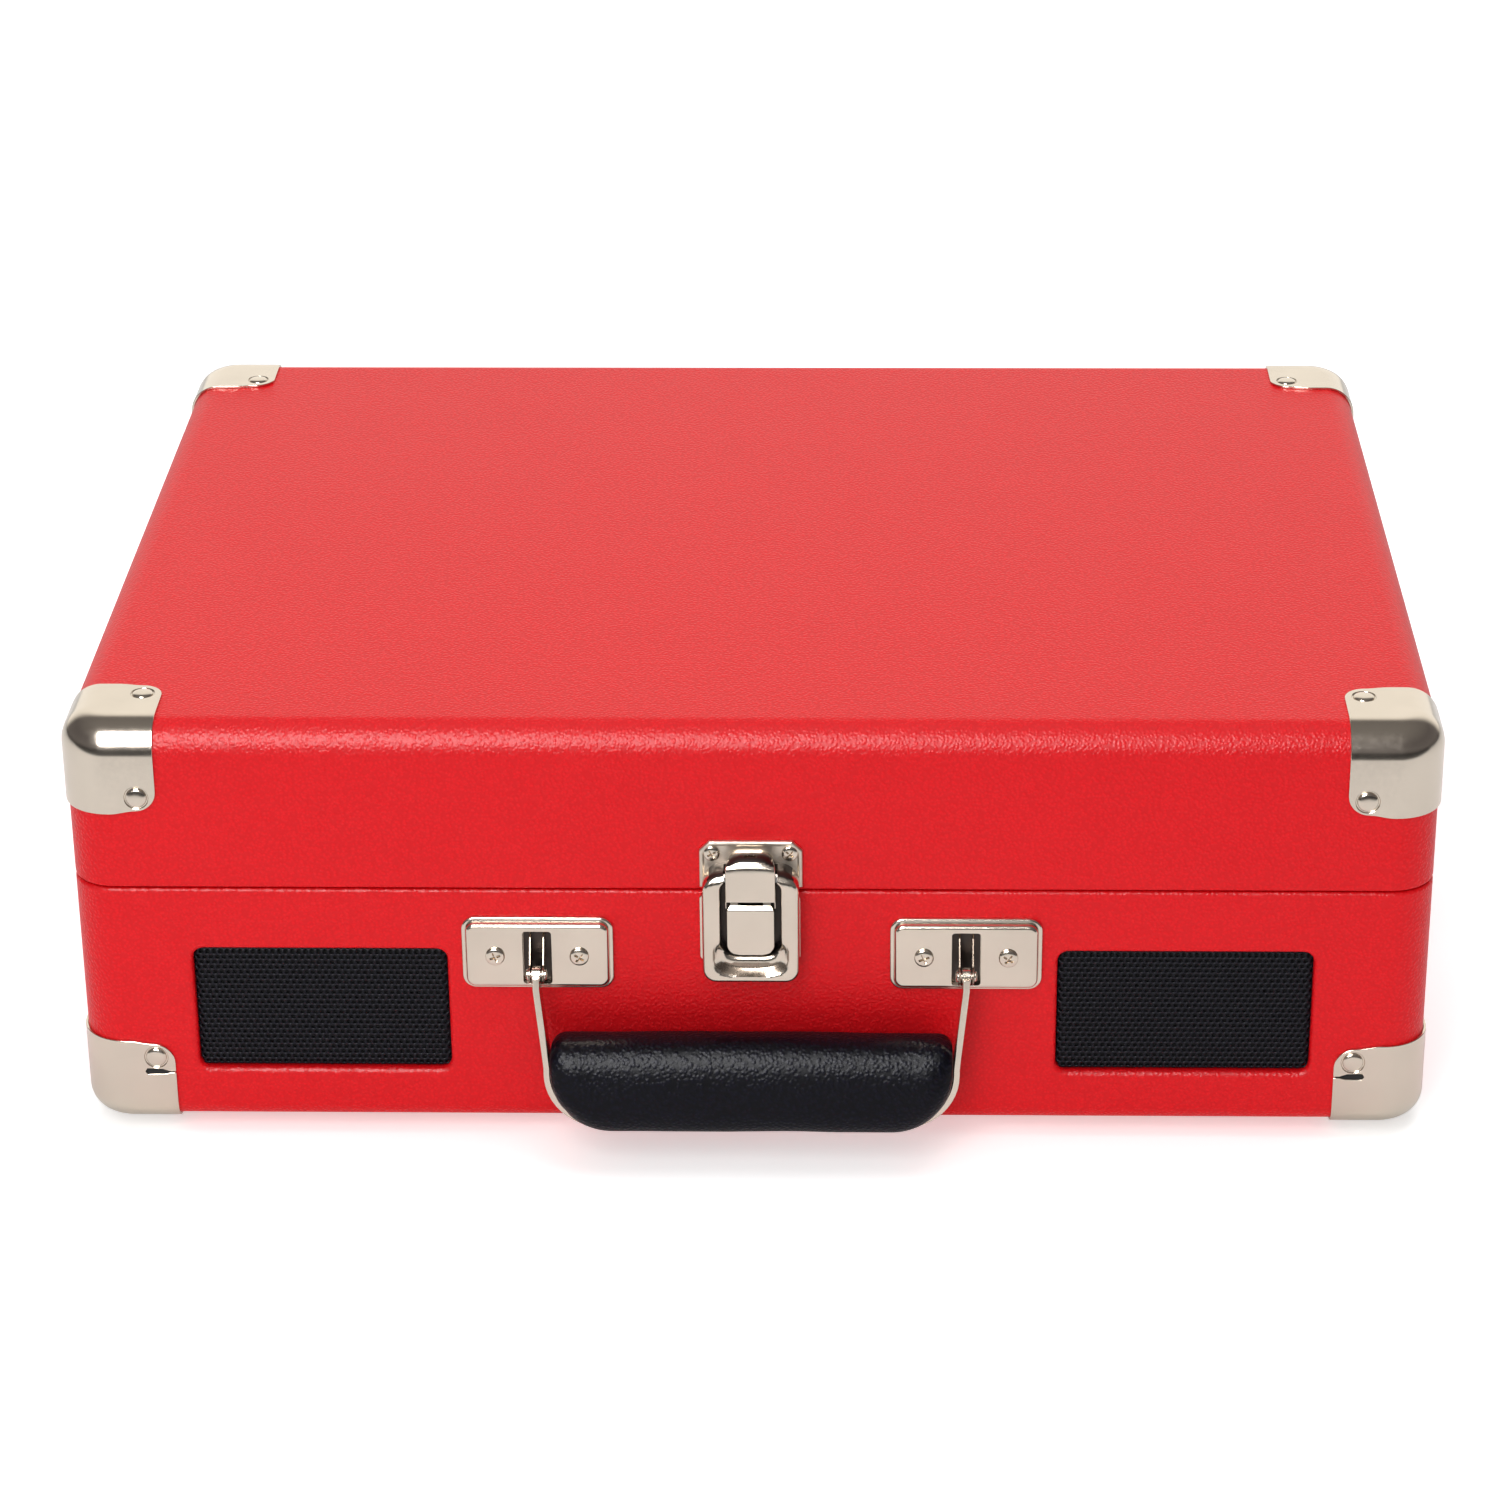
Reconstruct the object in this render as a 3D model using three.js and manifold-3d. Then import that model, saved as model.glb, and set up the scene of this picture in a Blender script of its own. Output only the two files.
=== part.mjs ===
// A portable suitcase record player, closed, standing on its four feet.
// Millimetres. +Z up, the front (latch and handle) faces -Y, +X is to the right seen from the front.
// Heights are over the ground under the feet.
import * as THREE from "three";
import { mergeVertices } from "three/addons/utils/BufferGeometryUtils.js";
import Module from "manifold-3d";

const wasm = await Module();
wasm.setup();

// ---- driving dimensions ------------------------------------------------------------------

const CLEARANCE = 0.3; // between pieces that touch
const FAR = 300; // beyond every face of the player, for tools that cut right through

const FOOT = { height: 4, radius: 9, insetX: 42, insetY: 38 };
const CASE = { width: 356, depth: 268, height: 116, wall: 6, floor: 5, corner: 12 };
const SEAM_HEIGHT = FOOT.height + 69.8; // middle of the parting line
const SEAM_GAP = 0.4;
const LID_EDGE = 8; // rounding of the lid's top edges
const BASE_EDGE = 6; // rounding of the base's bottom edges

const GUARD = { reachX: 25.6, reachY: 25.5, reachZ: 24.5, proud: 0.8, lobeRadius: 6, nailInset: 20.5 };
const NAIL = { radius: 2.7, height: 1 };

const GRILLE = { centreX: 113.5, width: 67, bottom: FOOT.height + 15.9, top: FOOT.height + 51.8 };
const GRILLE_RECESS = 1.8;

const BRACKET = { centreX: 56, centreZ: FOOT.height + 51.8, width: 39.8, height: 20.8, proud: 3 };
const HANDLE_PIN = { proud: 7, z: FOOT.height + 48.6, radius: 1.5, halfLength: 4.2 };
const HANDLE_TILT = THREE.MathUtils.degToRad(8); // the grip leans on the case, so it hangs tilted
const STRAP = { thickness: 1.8, width: 7, eyeRadius: 3.6, bend: 14, overGripBottom: 2 };
const GRIP = { halfLength: 53.2, top: -18.6, bottom: -42.6, depth: 18, bend: 15 };

const LATCH = { width: 25.2, bottom: FOOT.height + 46.2, top: FOOT.height + 79.4, proud: 8 };
const LATCH_POCKET = 7.6; // half the width of the pocket that the lever lies in
const LATCH_SHEET = 1.2; // thickness of the pressed body
const LEVER_PIN = { proud: 4.2, z: FOOT.height + 75.6, radius: 1.1 };
const CLAW_PIN = { proud: 5.6, z: FOOT.height + 67.8, radius: 0.8 };
const KEEPER = { width: 26.8, bottom: FOOT.height + 71.4, top: FOOT.height + 84.6 };

const HINGE = { centreX: 95, halfWidth: 16, leafHeight: 21, knuckle: 2.6, pin: 1.2, proud: 3.1 };
const HINGE_SHEET = 1.2; // thickness of the hinge leaves

const DECK_TOP = 66;
const DECK_THICKNESS = 3;
const SHAFT_BOTTOM = 58; // lower ends of the controls' shafts and the lift post, under the deck
const SOCKET_BOTTOM = 50; // lower ends of the deck's sockets
const SPINDLE = { x: -38, y: -2, radius: 3.55, bottom: 48, top: 89.3 };
const PLATTER = { radius: 93, bottom: 67.5, web: 72.5, top: 75.5, beltRing: 50 };
const MAT = { radius: 91, bottom: 75.8, top: 77.3 };
const MOTOR = { distance: 70, direction: THREE.MathUtils.degToRad(140), radius: 16, bottom: 38 };
const PULLEY_RADIUS = 6;
const BELT = { thickness: 0.8, bottom: 68.5, top: 70.7 };

const ARM = { x: 124, y: 88, axisZ: 87, radius: 4.2, reach: 190, stemBottom: 56, turntable: 78 };
const ARM_REST_DISTANCE = 140;
const CLIP_OPEN = THREE.MathUtils.degToRad(80);
const LIFT = { radius: 36, postAngle: THREE.MathUtils.degToRad(247), width: 4, height: 2 };
const LIFT_SPAN = [221, 277].map(THREE.MathUtils.degToRad); // the lift bar's arc about the arm's pivot
const CONTROL_X = 152; // the controls stand in one row along the right side of the deck

const LEATHERETTE = { color: 0xd92027, roughness: 0.5, metalness: 0 };
const NICKEL = { color: 0xcfc4b8, roughness: 0.25, metalness: 1 };
const STEEL = { color: 0xb9b9b9, roughness: 0.35, metalness: 1 };
const BLACK_PLASTIC = { color: 0x151515, roughness: 0.45, metalness: 0 };
const BLACK_VINYL = { color: 0x14161f, roughness: 0.55, metalness: 0 };
const RUBBER = { color: 0x1b1b1b, roughness: 0.9, metalness: 0 };
const CIRCUIT_GREEN = { color: 0x1d6b3a, roughness: 0.6, metalness: 0 };
const RED_LAMP = { color: 0xd02020, roughness: 0.2, metalness: 0 };

// ---- worked-out values -------------------------------------------------------------------

const HALF_X = CASE.width / 2;
const HALF_Y = CASE.depth / 2;
const FRONT = -HALF_Y;
const CASE_BOTTOM = FOOT.height;
const CASE_TOP = FOOT.height + CASE.height;
const BASE_RIM = SEAM_HEIGHT - SEAM_GAP / 2;
const LID_RIM = SEAM_HEIGHT + SEAM_GAP / 2;
const INNER_X = HALF_X - CASE.wall;
const INNER_Y = HALF_Y - CASE.wall;
const DECK_BOTTOM = DECK_TOP - DECK_THICKNESS;
const ON_DECK = DECK_TOP + CLEARANCE;
const MOTOR_X = SPINDLE.x + MOTOR.distance * Math.cos(MOTOR.direction);
const MOTOR_Y = SPINDLE.y + MOTOR.distance * Math.sin(MOTOR.direction);
const ARM_BOTTOM = ARM.axisZ - ARM.radius;
const LIFT_X = ARM.x + LIFT.radius * Math.cos(LIFT.postAngle);
const LIFT_Y = ARM.y + LIFT.radius * Math.sin(LIFT.postAngle);

// ---- solids ------------------------------------------------------------------------------

const AXES = {
  // an outline drawn in (y, z) and pushed along x, in (x, z) and pushed along -y, in (x, y) along z
  x: new THREE.Matrix4().set(0, 0, 1, 0, 1, 0, 0, 0, 0, 1, 0, 0, 0, 0, 0, 1),
  y: new THREE.Matrix4().set(1, 0, 0, 0, 0, 0, -1, 0, 0, 1, 0, 0, 0, 0, 0, 1),
  z: new THREE.Matrix4(),
};

function solid(geometry) {
  const bare = geometry.clone();
  bare.deleteAttribute("normal");
  bare.deleteAttribute("uv");
  const merged = mergeVertices(bare, 1e-4);
  return new wasm.Manifold(
    new wasm.Mesh({
      numProp: 3,
      vertProperties: merged.attributes.position.array,
      triVerts: new Uint32Array(merged.index.array),
    }),
  );
}

function join(...solids) {
  return solids.reduce((whole, piece) => whole.add(piece));
}

function cut(whole, ...tools) {
  return tools.reduce((rest, tool) => rest.subtract(tool), whole);
}

function block(x0, x1, y0, y1, z0, z1) {
  const geometry = new THREE.BoxGeometry(x1 - x0, y1 - y0, z1 - z0);
  geometry.translate((x0 + x1) / 2, (y0 + y1) / 2, (z0 + z1) / 2);
  return solid(geometry);
}

// An outline pushed along an axis, from one place on that axis to another.
function prism(axis, outline, from, to, segments = 6) {
  const geometry = new THREE.ExtrudeGeometry(outline, {
    depth: to - from,
    bevelEnabled: false,
    curveSegments: segments,
  });
  geometry.translate(0, 0, axis === "y" ? -to : from);
  geometry.applyMatrix4(AXES[axis]);
  return solid(geometry);
}

// The same with both ends rounded inwards by edge.
function softPrism(axis, outline, from, to, edge, segments = 6, edgeSegments = 3) {
  const geometry = new THREE.ExtrudeGeometry(outline, {
    depth: to - from - 2 * edge,
    bevelEnabled: true,
    bevelThickness: edge,
    bevelSize: edge,
    bevelOffset: -edge,
    bevelSegments: edgeSegments,
    curveSegments: segments,
  });
  geometry.translate(0, 0, (axis === "y" ? -to : from) + edge);
  geometry.applyMatrix4(AXES[axis]);
  return solid(geometry);
}

function rod(axis, u, v, radius, from, to, segments = 16) {
  const geometry = new THREE.CylinderGeometry(radius, radius, to - from, segments);
  geometry.rotateX(Math.PI / 2);
  geometry.translate(u, v, (axis === "y" ? -1 : 1) * (from + to) * 0.5);
  geometry.applyMatrix4(AXES[axis]);
  return solid(geometry);
}

// A profile of (radius, height) points turned about an upright axis at x, y.
function turned(points, x, y, segments = 28) {
  const profile = points.map(([radius, height]) => new THREE.Vector2(radius, height));
  const onAxis = points[0][0] === 0 && points[points.length - 1][0] === 0;
  if (!onAxis) profile.push(profile[0].clone());
  const geometry = new THREE.LatheGeometry(profile, segments);
  geometry.rotateX(Math.PI / 2);
  geometry.translate(x, y, 0);
  return solid(geometry);
}

// Two numbers in rising order, for a pair of edges whose order depends on the side.
function between(a, b) {
  return a < b ? [a, b] : [b, a];
}

function polygon(points) {
  return new THREE.Shape(points.map(([a, b]) => new THREE.Vector2(a, b)));
}

function roundedRect(x0, x1, y0, y1, radius) {
  const shape = new THREE.Shape();
  shape.absarc(x1 - radius, y1 - radius, radius, 0, Math.PI / 2);
  shape.absarc(x0 + radius, y1 - radius, radius, Math.PI / 2, Math.PI);
  shape.absarc(x0 + radius, y0 + radius, radius, Math.PI, 1.5 * Math.PI);
  shape.absarc(x1 - radius, y0 + radius, radius, 1.5 * Math.PI, 2 * Math.PI);
  return shape;
}

// A nail head on a face: axis and side say which way it looks, u and v where it is on the face.
function nailHead(axis, side, u, v, face) {
  const depth = NAIL.height + 0.4; // its foot goes a little into the metal under it
  const radii = side > 0 ? [NAIL.radius * 0.6, NAIL.radius] : [NAIL.radius, NAIL.radius * 0.6];
  const geometry = new THREE.CylinderGeometry(...radii, depth, 8);
  geometry.rotateX(Math.PI / 2);
  const middle = face + side * (NAIL.height - depth / 2);
  if (axis === "y") geometry.rotateX(Math.PI);
  geometry.translate(u, v, axis === "y" ? -middle : middle);
  geometry.applyMatrix4(AXES[axis]);
  return solid(geometry);
}

// ---- the scene graph ---------------------------------------------------------------------

const player = new THREE.Group();

function geometryOf(made) {
  const mesh = made.getMesh();
  const geometry = new THREE.BufferGeometry();
  const stride = mesh.numProp;
  const positions = new Float32Array(mesh.numVert * 3);
  for (let i = 0; i < mesh.numVert; i++) {
    positions.set(mesh.vertProperties.subarray(i * stride, i * stride + 3), i * 3);
  }
  geometry.setAttribute("position", new THREE.BufferAttribute(positions, 3));
  geometry.setIndex(new THREE.BufferAttribute(new Uint32Array(mesh.triVerts), 1));
  geometry.computeVertexNormals();
  return geometry;
}

function add(name, made, look, parent = player) {
  const mesh = new THREE.Mesh(geometryOf(made), new THREE.MeshStandardMaterial(look));
  mesh.name = name;
  parent.add(mesh);
  return mesh;
}

function addMirrored(name, made, look, sideX, sideY = 1) {
  const mesh = add(name, made, look);
  mesh.scale.set(sideX, sideY, 1);
  return mesh;
}

// ---- the case ----------------------------------------------------------------------------

// The case's outer form, grown by some amount, with its upright edges and one set of flat edges rounded.
function caseForm(grow, from, to, edge) {
  const outline = roundedRect(
    -HALF_X - grow,
    HALF_X + grow,
    -HALF_Y - grow,
    HALF_Y + grow,
    CASE.corner + grow,
  );
  return softPrism("z", outline, from - grow, to + grow, edge + grow, 4, 3);
}

function lidForm(grow) {
  const whole = caseForm(grow, CASE_BOTTOM, CASE_TOP, LID_EDGE);
  return whole.subtract(block(-FAR, FAR, -FAR, FAR, -FAR, LID_RIM));
}

function baseForm(grow) {
  const whole = caseForm(grow, CASE_BOTTOM, CASE_TOP, BASE_EDGE);
  return whole.subtract(block(-FAR, FAR, -FAR, FAR, BASE_RIM, FAR));
}

function innerOutline(gap) {
  return roundedRect(
    -INNER_X + gap,
    INNER_X - gap,
    -INNER_Y + gap,
    INNER_Y - gap,
    CASE.corner - CASE.wall,
  );
}

function grilleOutline(gap) {
  return roundedRect(
    GRILLE.centreX - GRILLE.width / 2 + gap,
    GRILLE.centreX + GRILLE.width / 2 - gap,
    GRILLE.bottom + gap,
    GRILLE.top - gap,
    2,
  );
}

const SOCKET_PANEL = { x0: 90, x1: 150, z0: 24, z1: 42 };
const BOARD = { x0: 30, x1: 130, y0: 34, y1: 94, z: 18 };
const STANDOFF_INSET = 6;

function baseShell() {
  const floorTop = CASE_BOTTOM + CASE.floor;
  const hollow = prism("z", innerOutline(0), floorTop, FAR, 3);
  let shell = baseForm(0).subtract(hollow);
  for (const side of [-1, 1]) {
    const window = prism("y", grilleOutline(0), FRONT - 2, FRONT + CASE.wall + 2, 3);
    shell = shell.subtract(side > 0 ? window : window.mirror([1, 0, 0]));
  }
  const { x0, x1, z0, z1 } = SOCKET_PANEL;
  shell = shell.subtract(block(x0, x1, INNER_Y - 2, HALF_Y + 2, z0, z1));
  const cleat = 16;
  for (const x of [-1, 1]) {
    for (const y of [-1, 1]) {
      const post = block(
        ...between(x * (INNER_X + 1), x * (INNER_X - cleat)),
        ...between(y * (INNER_Y + 1), y * (INNER_Y - cleat)),
        floorTop - 1,
        DECK_BOTTOM - CLEARANCE,
      );
      shell = shell.add(post);
    }
  }
  for (const x of [BOARD.x0 + STANDOFF_INSET, BOARD.x1 - STANDOFF_INSET]) {
    for (const y of [BOARD.y0 + STANDOFF_INSET, BOARD.y1 - STANDOFF_INSET]) {
      shell = shell.add(rod("z", x, y, 3.5, floorTop - 1, BOARD.z - CLEARANCE, 8));
    }
  }
  return shell;
}

function lidShell() {
  const hollow = prism("z", innerOutline(0), 0, CASE_TOP - CASE.floor, 3);
  return lidForm(0).subtract(hollow);
}

// The three lobes of a corner guard, at the corner where +x, -y and the flat faces meet.
function guardLobes(z0, z1) {
  const x = HALF_X - GUARD.reachX;
  const y = FRONT + GUARD.reachY;
  const beyond = 12;
  const r = GUARD.lobeRadius;
  const front = prism("y", roundedRect(x, HALF_X + beyond, z0, z1, r), FRONT - beyond, y, 3);
  const side = prism("x", roundedRect(FRONT - beyond, y, z0, z1, r), x, HALF_X + beyond, 3);
  const flat = prism("z", roundedRect(x, HALF_X + beyond, FRONT - beyond, y, r), z0, z1, 3);
  return front.intersect(side).intersect(flat);
}

function cornerGuard(form, flatFace, up, lobes) {
  const shell = form(GUARD.proud).subtract(form(CLEARANCE)).intersect(lobes);
  const nailX = HALF_X - GUARD.nailInset;
  const nailY = FRONT + GUARD.nailInset;
  const nailZ = flatFace - up * GUARD.nailInset;
  const flush = GUARD.proud;
  return join(
    shell,
    nailHead("y", -1, nailX, nailZ, FRONT - flush),
    nailHead("x", 1, nailY, nailZ, HALF_X + flush),
    nailHead("z", up, nailX, nailY, flatFace + up * flush),
  );
}

function addCornerGuards() {
  const beyond = 12;
  const lidGuard = cornerGuard(
    lidForm,
    CASE_TOP,
    1,
    guardLobes(CASE_TOP - GUARD.reachZ, CASE_TOP + beyond),
  );
  const baseGuard = cornerGuard(
    baseForm,
    CASE_BOTTOM,
    -1,
    guardLobes(CASE_BOTTOM - beyond, CASE_BOTTOM + GUARD.reachZ),
  );
  for (const [depth, sideY] of [["front", 1], ["back", -1]]) {
    for (const [hand, sideX] of [["left", -1], ["right", 1]]) {
      addMirrored(`lid_guard_${depth}_${hand}`, lidGuard, NICKEL, sideX, sideY);
      addMirrored(`base_guard_${depth}_${hand}`, baseGuard, NICKEL, sideX, sideY);
    }
  }
}

function foot() {
  const top = CASE_BOTTOM - CLEARANCE;
  const r = FOOT.radius;
  const profile = [[0, 0], [r - 1, 0], [r, 1], [r, top], [0, top]];
  return turned(profile, HALF_X - FOOT.insetX, FRONT + FOOT.insetY, 18);
}

function addFeet() {
  for (const [depth, sideY] of [["front", 1], ["back", -1]]) {
    for (const [hand, sideX] of [["left", -1], ["right", 1]]) {
      addMirrored(`foot_${depth}_${hand}`, foot(), RUBBER, sideX, sideY);
    }
  }
}

// ---- speakers ----------------------------------------------------------------------------

function grille() {
  const face = FRONT + GRILLE_RECESS;
  return prism("y", grilleOutline(CLEARANCE), face, face + 1, 3);
}

// An oval driver: a frame behind the window, a cone in it, a basket and a magnet.
function speaker() {
  const back = FRONT + CASE.wall + CLEARANCE;
  const middleZ = (GRILLE.bottom + GRILLE.top) / 2;
  const margin = 4;
  const frame = prism("y", grilleOutline(-margin), back, back + 2, 3);
  const basket = new THREE.CylinderGeometry(11, 17.5, 14, 16);
  basket.translate(GRILLE.centreX, back + 8, middleZ);
  const body = join(
    frame,
    solid(basket),
    rod("y", GRILLE.centreX, middleZ, 16, back + 14, back + 24, 16),
  );
  const cone = new THREE.CylinderGeometry(6, 15.5, 8, 16);
  cone.translate(GRILLE.centreX, back + 3.9, middleZ);
  return body.subtract(solid(cone));
}

function addSpeakers() {
  for (const [hand, side] of [["left", -1], ["right", 1]]) {
    addMirrored(`grille_${hand}`, grille(), BLACK_PLASTIC, side);
    addMirrored(`speaker_${hand}`, speaker(), BLACK_PLASTIC, side);
  }
}

// ---- the carrying handle -----------------------------------------------------------------

// A bracket plate with a channel in its middle and two ears that hold the pin.
function handleBracket() {
  const { centreX, centreZ, width, height, proud } = BRACKET;
  const x0 = centreX - width / 2;
  const x1 = centreX + width / 2;
  const z0 = centreZ - height / 2;
  const z1 = centreZ + height / 2;
  const touch = FRONT - CLEARANCE;
  const rim = prism("y", roundedRect(x0, x1, z0, z1, 3.2), touch - 1.3, touch, 3);
  const raised = roundedRect(x0 + 1.4, x1 - 1.4, z0 + 1.4, z1 - 1.4, 2.4);
  const plate = softPrism("y", raised, FRONT - proud, touch - 0.2, 0.6, 3, 1);
  const channel = block(
    centreX - 3.6,
    centreX + 3.6,
    FRONT - proud - 1,
    FRONT - 1.3,
    HANDLE_PIN.z - 5.2,
    z1 - 4,
  );
  const pinY = FRONT - HANDLE_PIN.proud;
  const ear = new THREE.Shape();
  ear.moveTo(FRONT - 1, HANDLE_PIN.z + 9);
  ear.lineTo(FRONT - 1, HANDLE_PIN.z - 4);
  ear.lineTo(FRONT - 2, HANDLE_PIN.z - 4);
  ear.lineTo(pinY, HANDLE_PIN.z - 2.8);
  ear.absarc(pinY, HANDLE_PIN.z, 2.8, 1.5 * Math.PI, 0.6 * Math.PI, true);
  const bore = rod("x", pinY, HANDLE_PIN.z, HANDLE_PIN.radius + CLEARANCE, 0, FAR, 14);
  const ears = [-1, 1].map((side) => {
    return prism("x", ear, ...between(centreX + side * 1.7, centreX + side * 3.1), 5);
  });
  return cut(join(cut(join(rim, plate), channel), ...ears), bore);
}

function handlePin() {
  const { halfLength, radius, z, proud } = HANDLE_PIN;
  const y = FRONT - proud;
  const head = rod("x", y, z, radius + 0.9, BRACKET.centreX + halfLength, BRACKET.centreX + 5, 14);
  const from = BRACKET.centreX - halfLength;
  return rod("x", y, z, radius, from, BRACKET.centreX + halfLength + 0.1, 14).add(head);
}

// The strap's path in (x, z) with the pins' axis at z = 0: down from the right pin, round under
// the grip and up to the left pin, as an outline grown by a distance either side of its middle.
function strapOutline(halfThickness) {
  const side = GRIP.halfLength + 0.4;
  const bend = STRAP.bend;
  const bendX = side - bend;
  const bendZ = GRIP.bottom + STRAP.overGripBottom + bend;
  const straightFrom = -4;
  const straightTo = -24;
  const out = bend + halfThickness;
  const into = bend - halfThickness;
  const pinX = BRACKET.centreX;
  const shape = new THREE.Shape();
  shape.moveTo(pinX + halfThickness, 0);
  shape.lineTo(pinX + halfThickness, straightFrom);
  shape.lineTo(side + halfThickness, straightTo);
  shape.absarc(bendX, bendZ, out, 0, -Math.PI / 2, true);
  shape.absarc(-bendX, bendZ, out, -Math.PI / 2, -Math.PI, true);
  shape.lineTo(-side - halfThickness, straightTo);
  shape.lineTo(-pinX - halfThickness, straightFrom);
  shape.lineTo(-pinX - halfThickness, 0);
  shape.lineTo(-pinX + halfThickness, 0);
  shape.lineTo(-pinX + halfThickness, straightFrom);
  shape.lineTo(-side + halfThickness, straightTo);
  shape.absarc(-bendX, bendZ, into, -Math.PI, -Math.PI / 2, false);
  shape.absarc(bendX, bendZ, into, -Math.PI / 2, 0, false);
  shape.lineTo(side - halfThickness, straightTo);
  shape.lineTo(pinX - halfThickness, straightFrom);
  shape.lineTo(pinX - halfThickness, 0);
  return shape;
}

function strap(extra) {
  const half = STRAP.thickness / 2 + extra;
  const reach = STRAP.width / 2 + extra;
  return prism("y", strapOutline(half), -reach, reach, 6);
}

function handleStrap() {
  const half = STRAP.thickness / 2;
  const ends = [-1, 1].map((side) => {
    const x = side * BRACKET.centreX;
    return rod("x", 0, 0, STRAP.eyeRadius, x - half, x + half, 20);
  });
  const bore = rod("x", 0, 0, HANDLE_PIN.radius + CLEARANCE, -FAR, FAR, 14);
  return join(strap(0), ...ends).subtract(bore);
}

function gripOutline() {
  const { halfLength, top, bottom, bend } = GRIP;
  const upper = 5;
  const shape = new THREE.Shape();
  shape.absarc(halfLength - upper, top - upper, upper, 0, Math.PI / 2);
  shape.absarc(upper - halfLength, top - upper, upper, Math.PI / 2, Math.PI);
  shape.absarc(bend - halfLength, bottom + bend, bend, Math.PI, 1.5 * Math.PI);
  shape.absarc(halfLength - bend, bottom + bend, bend, 1.5 * Math.PI, 2 * Math.PI);
  return shape;
}

function handleGrip() {
  const half = GRIP.depth / 2;
  const body = softPrism("y", gripOutline(), -half, half, 4.5, 4, 3);
  return body.subtract(strap(CLEARANCE));
}

function addHandle() {
  for (const [hand, side] of [["left", -1], ["right", 1]]) {
    addMirrored(`handle_bracket_${hand}`, handleBracket(), NICKEL, side);
    addMirrored(`handle_pin_${hand}`, handlePin(), NICKEL, side);
  }
  const handle = new THREE.Group();
  handle.position.set(0, FRONT - HANDLE_PIN.proud, HANDLE_PIN.z);
  handle.rotation.x = -HANDLE_TILT;
  player.add(handle);
  add("handle_strap", handleStrap(), NICKEL, handle);
  add("handle_grip", handleGrip(), BLACK_VINYL, handle);
}

// ---- the draw latch ----------------------------------------------------------------------

// The fixed body: a pressed cover, open behind, with a pocket for the lever and a finger scoop.
function latchBody() {
  const half = LATCH.width / 2;
  const front = FRONT - LATCH.proud;
  const open = FRONT - 1.7;
  const outline = roundedRect(-half, half, LATCH.bottom, LATCH.top, 3.4);
  const cover = softPrism("y", outline, front, open + 1.2, 1.4, 3, 2);
  const trimmed = cover.subtract(block(-FAR, FAR, open, FAR, -FAR, FAR));
  const pocketBottom = LATCH.bottom + 8;
  const pocketOutline = roundedRect(-LATCH_POCKET, LATCH_POCKET, pocketBottom, LATCH.top + 9, 3.2);
  const pocket = prism("y", pocketOutline, front - 1, open + 1, 4);
  const hollow = block(
    -half + LATCH_SHEET,
    half - LATCH_SHEET,
    front + LATCH_SHEET,
    open + 1,
    pocketBottom + 1,
    LATCH.top - LATCH_SHEET,
  );
  const scoop = new THREE.SphereGeometry(1, 12, 8);
  scoop.scale(6.4, 3.4, 5);
  scoop.translate(0, front, pocketBottom - 0.5);
  const flangeHalf = half + 0.7;
  const flange = block(
    -flangeHalf,
    flangeHalf,
    open - 1,
    FRONT - CLEARANCE,
    LATCH.bottom + 3.5,
    BASE_RIM - 0.4,
  );
  const well = block(-LATCH_POCKET, LATCH_POCKET, open - 2, open, pocketBottom + 3, BASE_RIM);
  return cut(join(trimmed, flange), pocket, hollow, well, solid(scoop));
}

// The lever: a flap that lies in the pocket, rounded at its top about the claw's pin, which is
// riveted into it, with two arms that run up behind the claw to the lever's own pin.
function latchLever() {
  const half = 5.4;
  const face = FRONT - LATCH.proud;
  const clawY = FRONT - CLAW_PIN.proud;
  const leverY = FRONT - LEVER_PIN.proud;
  const flap = prism(
    "y",
    roundedRect(-half, half, LATCH.bottom + 8.6, CLAW_PIN.z, 3),
    face,
    face + 1,
    4,
  );
  const topOfFlap = block(-half, half, face, face + 1, CLAW_PIN.z - 4, CLAW_PIN.z);
  const roundTop = rod("x", clawY, CLAW_PIN.z, LATCH.proud - CLAW_PIN.proud, -half, half, 20);
  const arm = new THREE.Shape();
  arm.moveTo(clawY - 2, CLAW_PIN.z - 2);
  arm.lineTo(clawY + 1.9, CLAW_PIN.z - 2.4);
  arm.lineTo(leverY + 1.9, LEVER_PIN.z);
  arm.absarc(leverY, LEVER_PIN.z, 1.9, 0, Math.PI);
  arm.lineTo(clawY - 0.8, CLAW_PIN.z + 1);
  const arms = [-1, 1].map((side) => {
    return prism("x", arm, ...between(side * 3.2, side * half), 5);
  });
  const leverBore = rod("x", leverY, LEVER_PIN.z, LEVER_PIN.radius + CLEARANCE, -FAR, FAR, 12);
  const clawPin = rod("x", clawY, CLAW_PIN.z, CLAW_PIN.radius, -6.4, 6.4, 12);
  return join(cut(join(flap, topOfFlap, roundTop, ...arms), leverBore), clawPin);
}

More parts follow.
